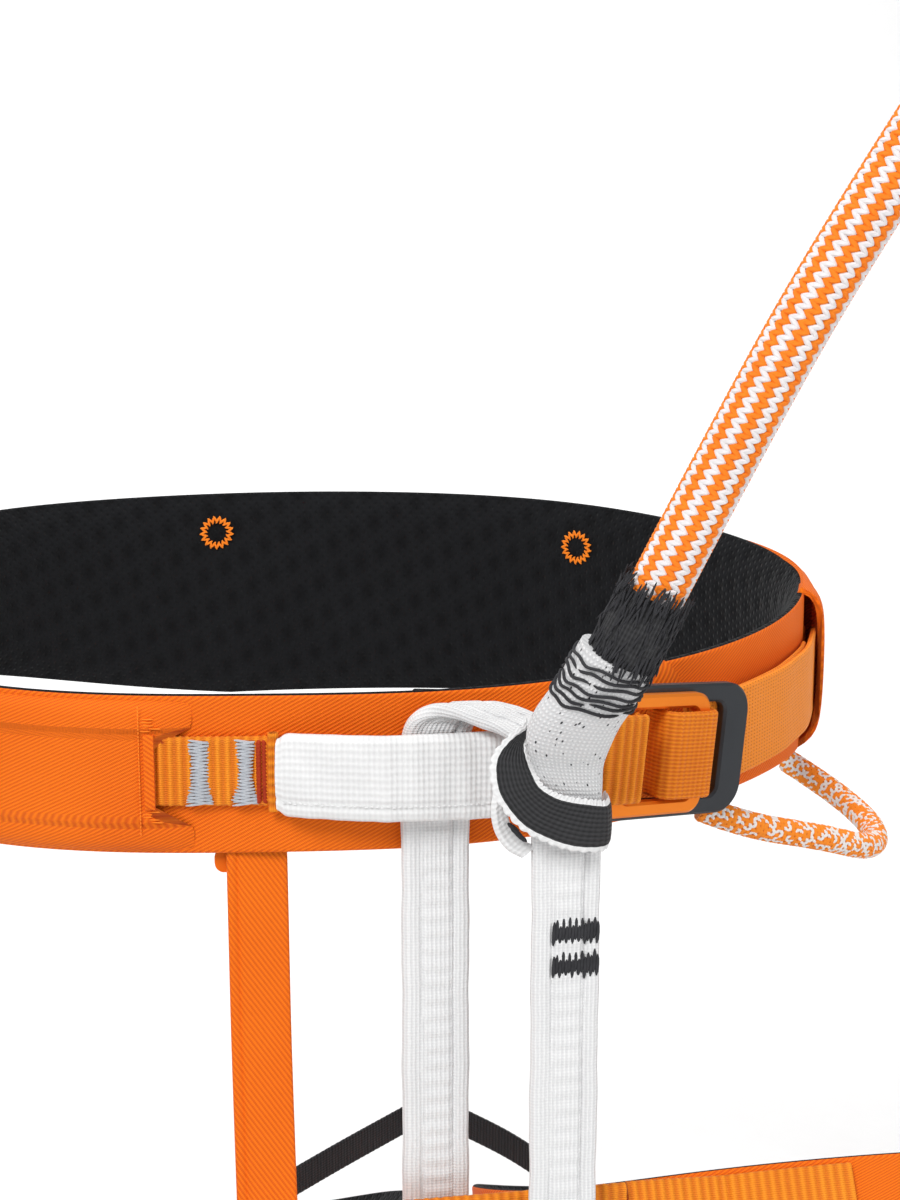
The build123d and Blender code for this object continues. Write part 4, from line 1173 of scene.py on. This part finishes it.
elastic_line = smooth_line([(22, 113.4, -35.2), (21.8, 109.6, -41), (18, 86, -93), (14, 62.6, -150.5)], 1.0)
elastic_line = even(elastic_line, 0.7)
elastic = ribbon("rear_elastic_woven", elastic_line, unit(np.array([1.0, 0, -0.06])), 9, 1.4, BLACK_ELASTIC,
                 "belt", rib_relief(0.1, 1.1))
stands_for(elastic, "black_elastic", "rear_elastic")
KEEPER = np.array([14, 62, -152.0])
for side, word in ((-1, "right"), (1, "left")):
    leave = KEEPER + np.array([side * 5.5, -0.6, -5])
    branch_line = smooth_line([leave, (MIDDLE_X + side * 26 + 5, 48, -162),
                               (MIDDLE_X + side * 44, 35.6, -167.5), (MIDDLE_X + side * 48, 33.4, -169)], 0.7)
    branch = ribbon(f"rear_branch_{word}_woven", branch_line, (0, 0, 1), 9, 1.3, BLACK_ELASTIC, None,
                    rib_relief(0.1, 1.1))
    stands_for(branch, "black_elastic", f"rear_branch_{word}")
    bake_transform(branch)

# ---------------------------------------------------------------- carried-over CAD nodes
NODE_LOOKS = {"buckle_outer_frame": GREY_FRAME, "buckle_inner_frame": ORANGE_FRAME,
              "lanyard_thimble": THIMBLE_METAL, "riser_tab": ORANGE_TWILL_DOWN,
              "elastic_keeper": BLACK_PLASTIC}
for node, look in NODE_LOOKS.items():
    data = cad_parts[node].data
    data.materials.clear()
    data.materials.append(look)

# ---------------------------------------------------------------- stage and light
floor_z = -0.315
stage_points, stage_faces = [], []
bend = np.linspace(0, pi / 2, 40)
curve = [(500 + 1400 * sin(a), 1400 - 1400 * cos(a)) for a in bend]
profile = [(-2600, 0), (500, 0)] + curve + [(1900, 3600)]
for y, z in profile:
    stage_points += [(-3600, y, z + floor_z / MM), (3600, y, z + floor_z / MM)]
for k in range(len(profile) - 1):
    stage_faces.append((2 * k, 2 * k + 1, 2 * k + 3, 2 * k + 2))
stage_mesh = bpy.data.meshes.new("stage")
stage_mesh.from_pydata((np.array(stage_points) * MM).tolist(), [], stage_faces)
stage_mesh.materials.append(STAGE)
stage_mesh.polygons.foreach_set("use_smooth", [True] * len(stage_faces))
stage = bpy.data.objects.new("stage", stage_mesh)
bpy.context.scene.collection.objects.link(stage)


def area_light(name, place, aim, size, power):
    data = bpy.data.lights.new(name, "AREA")
    data.shape = "DISK"
    data.size = size
    data.energy = power
    light = bpy.data.objects.new(name, data)
    light.location = place
    bpy.context.scene.collection.objects.link(light)
    away = np.array(place) - np.array(aim)
    tilt = np.arctan2(np.hypot(away[0], away[1]), away[2])
    light.rotation_euler = (tilt, 0, np.arctan2(away[1], away[0]) + pi / 2)
    return light


area_light("key", (-0.75, -1.05, 1.15), (0, 0, 0), 0.7, 19)
area_light("fill", (1.1, -0.9, 0.55), (0, 0, 0), 1.0, 6)
area_light("top", (0.05, 0.25, 1.5), (0, 0, 0), 1.0, 8)
area_light("back_wash", (0.0, 0.7, 0.9), (0, 1.5, 0.4), 1.2, 10)
world = bpy.data.worlds.new("studio")
world.use_nodes = True
world.node_tree.nodes["Background"].inputs[0].default_value = (1.0, 1.0, 1.0, 1)
world.node_tree.nodes["Background"].inputs[1].default_value = 0.42
bpy.context.scene.world = world
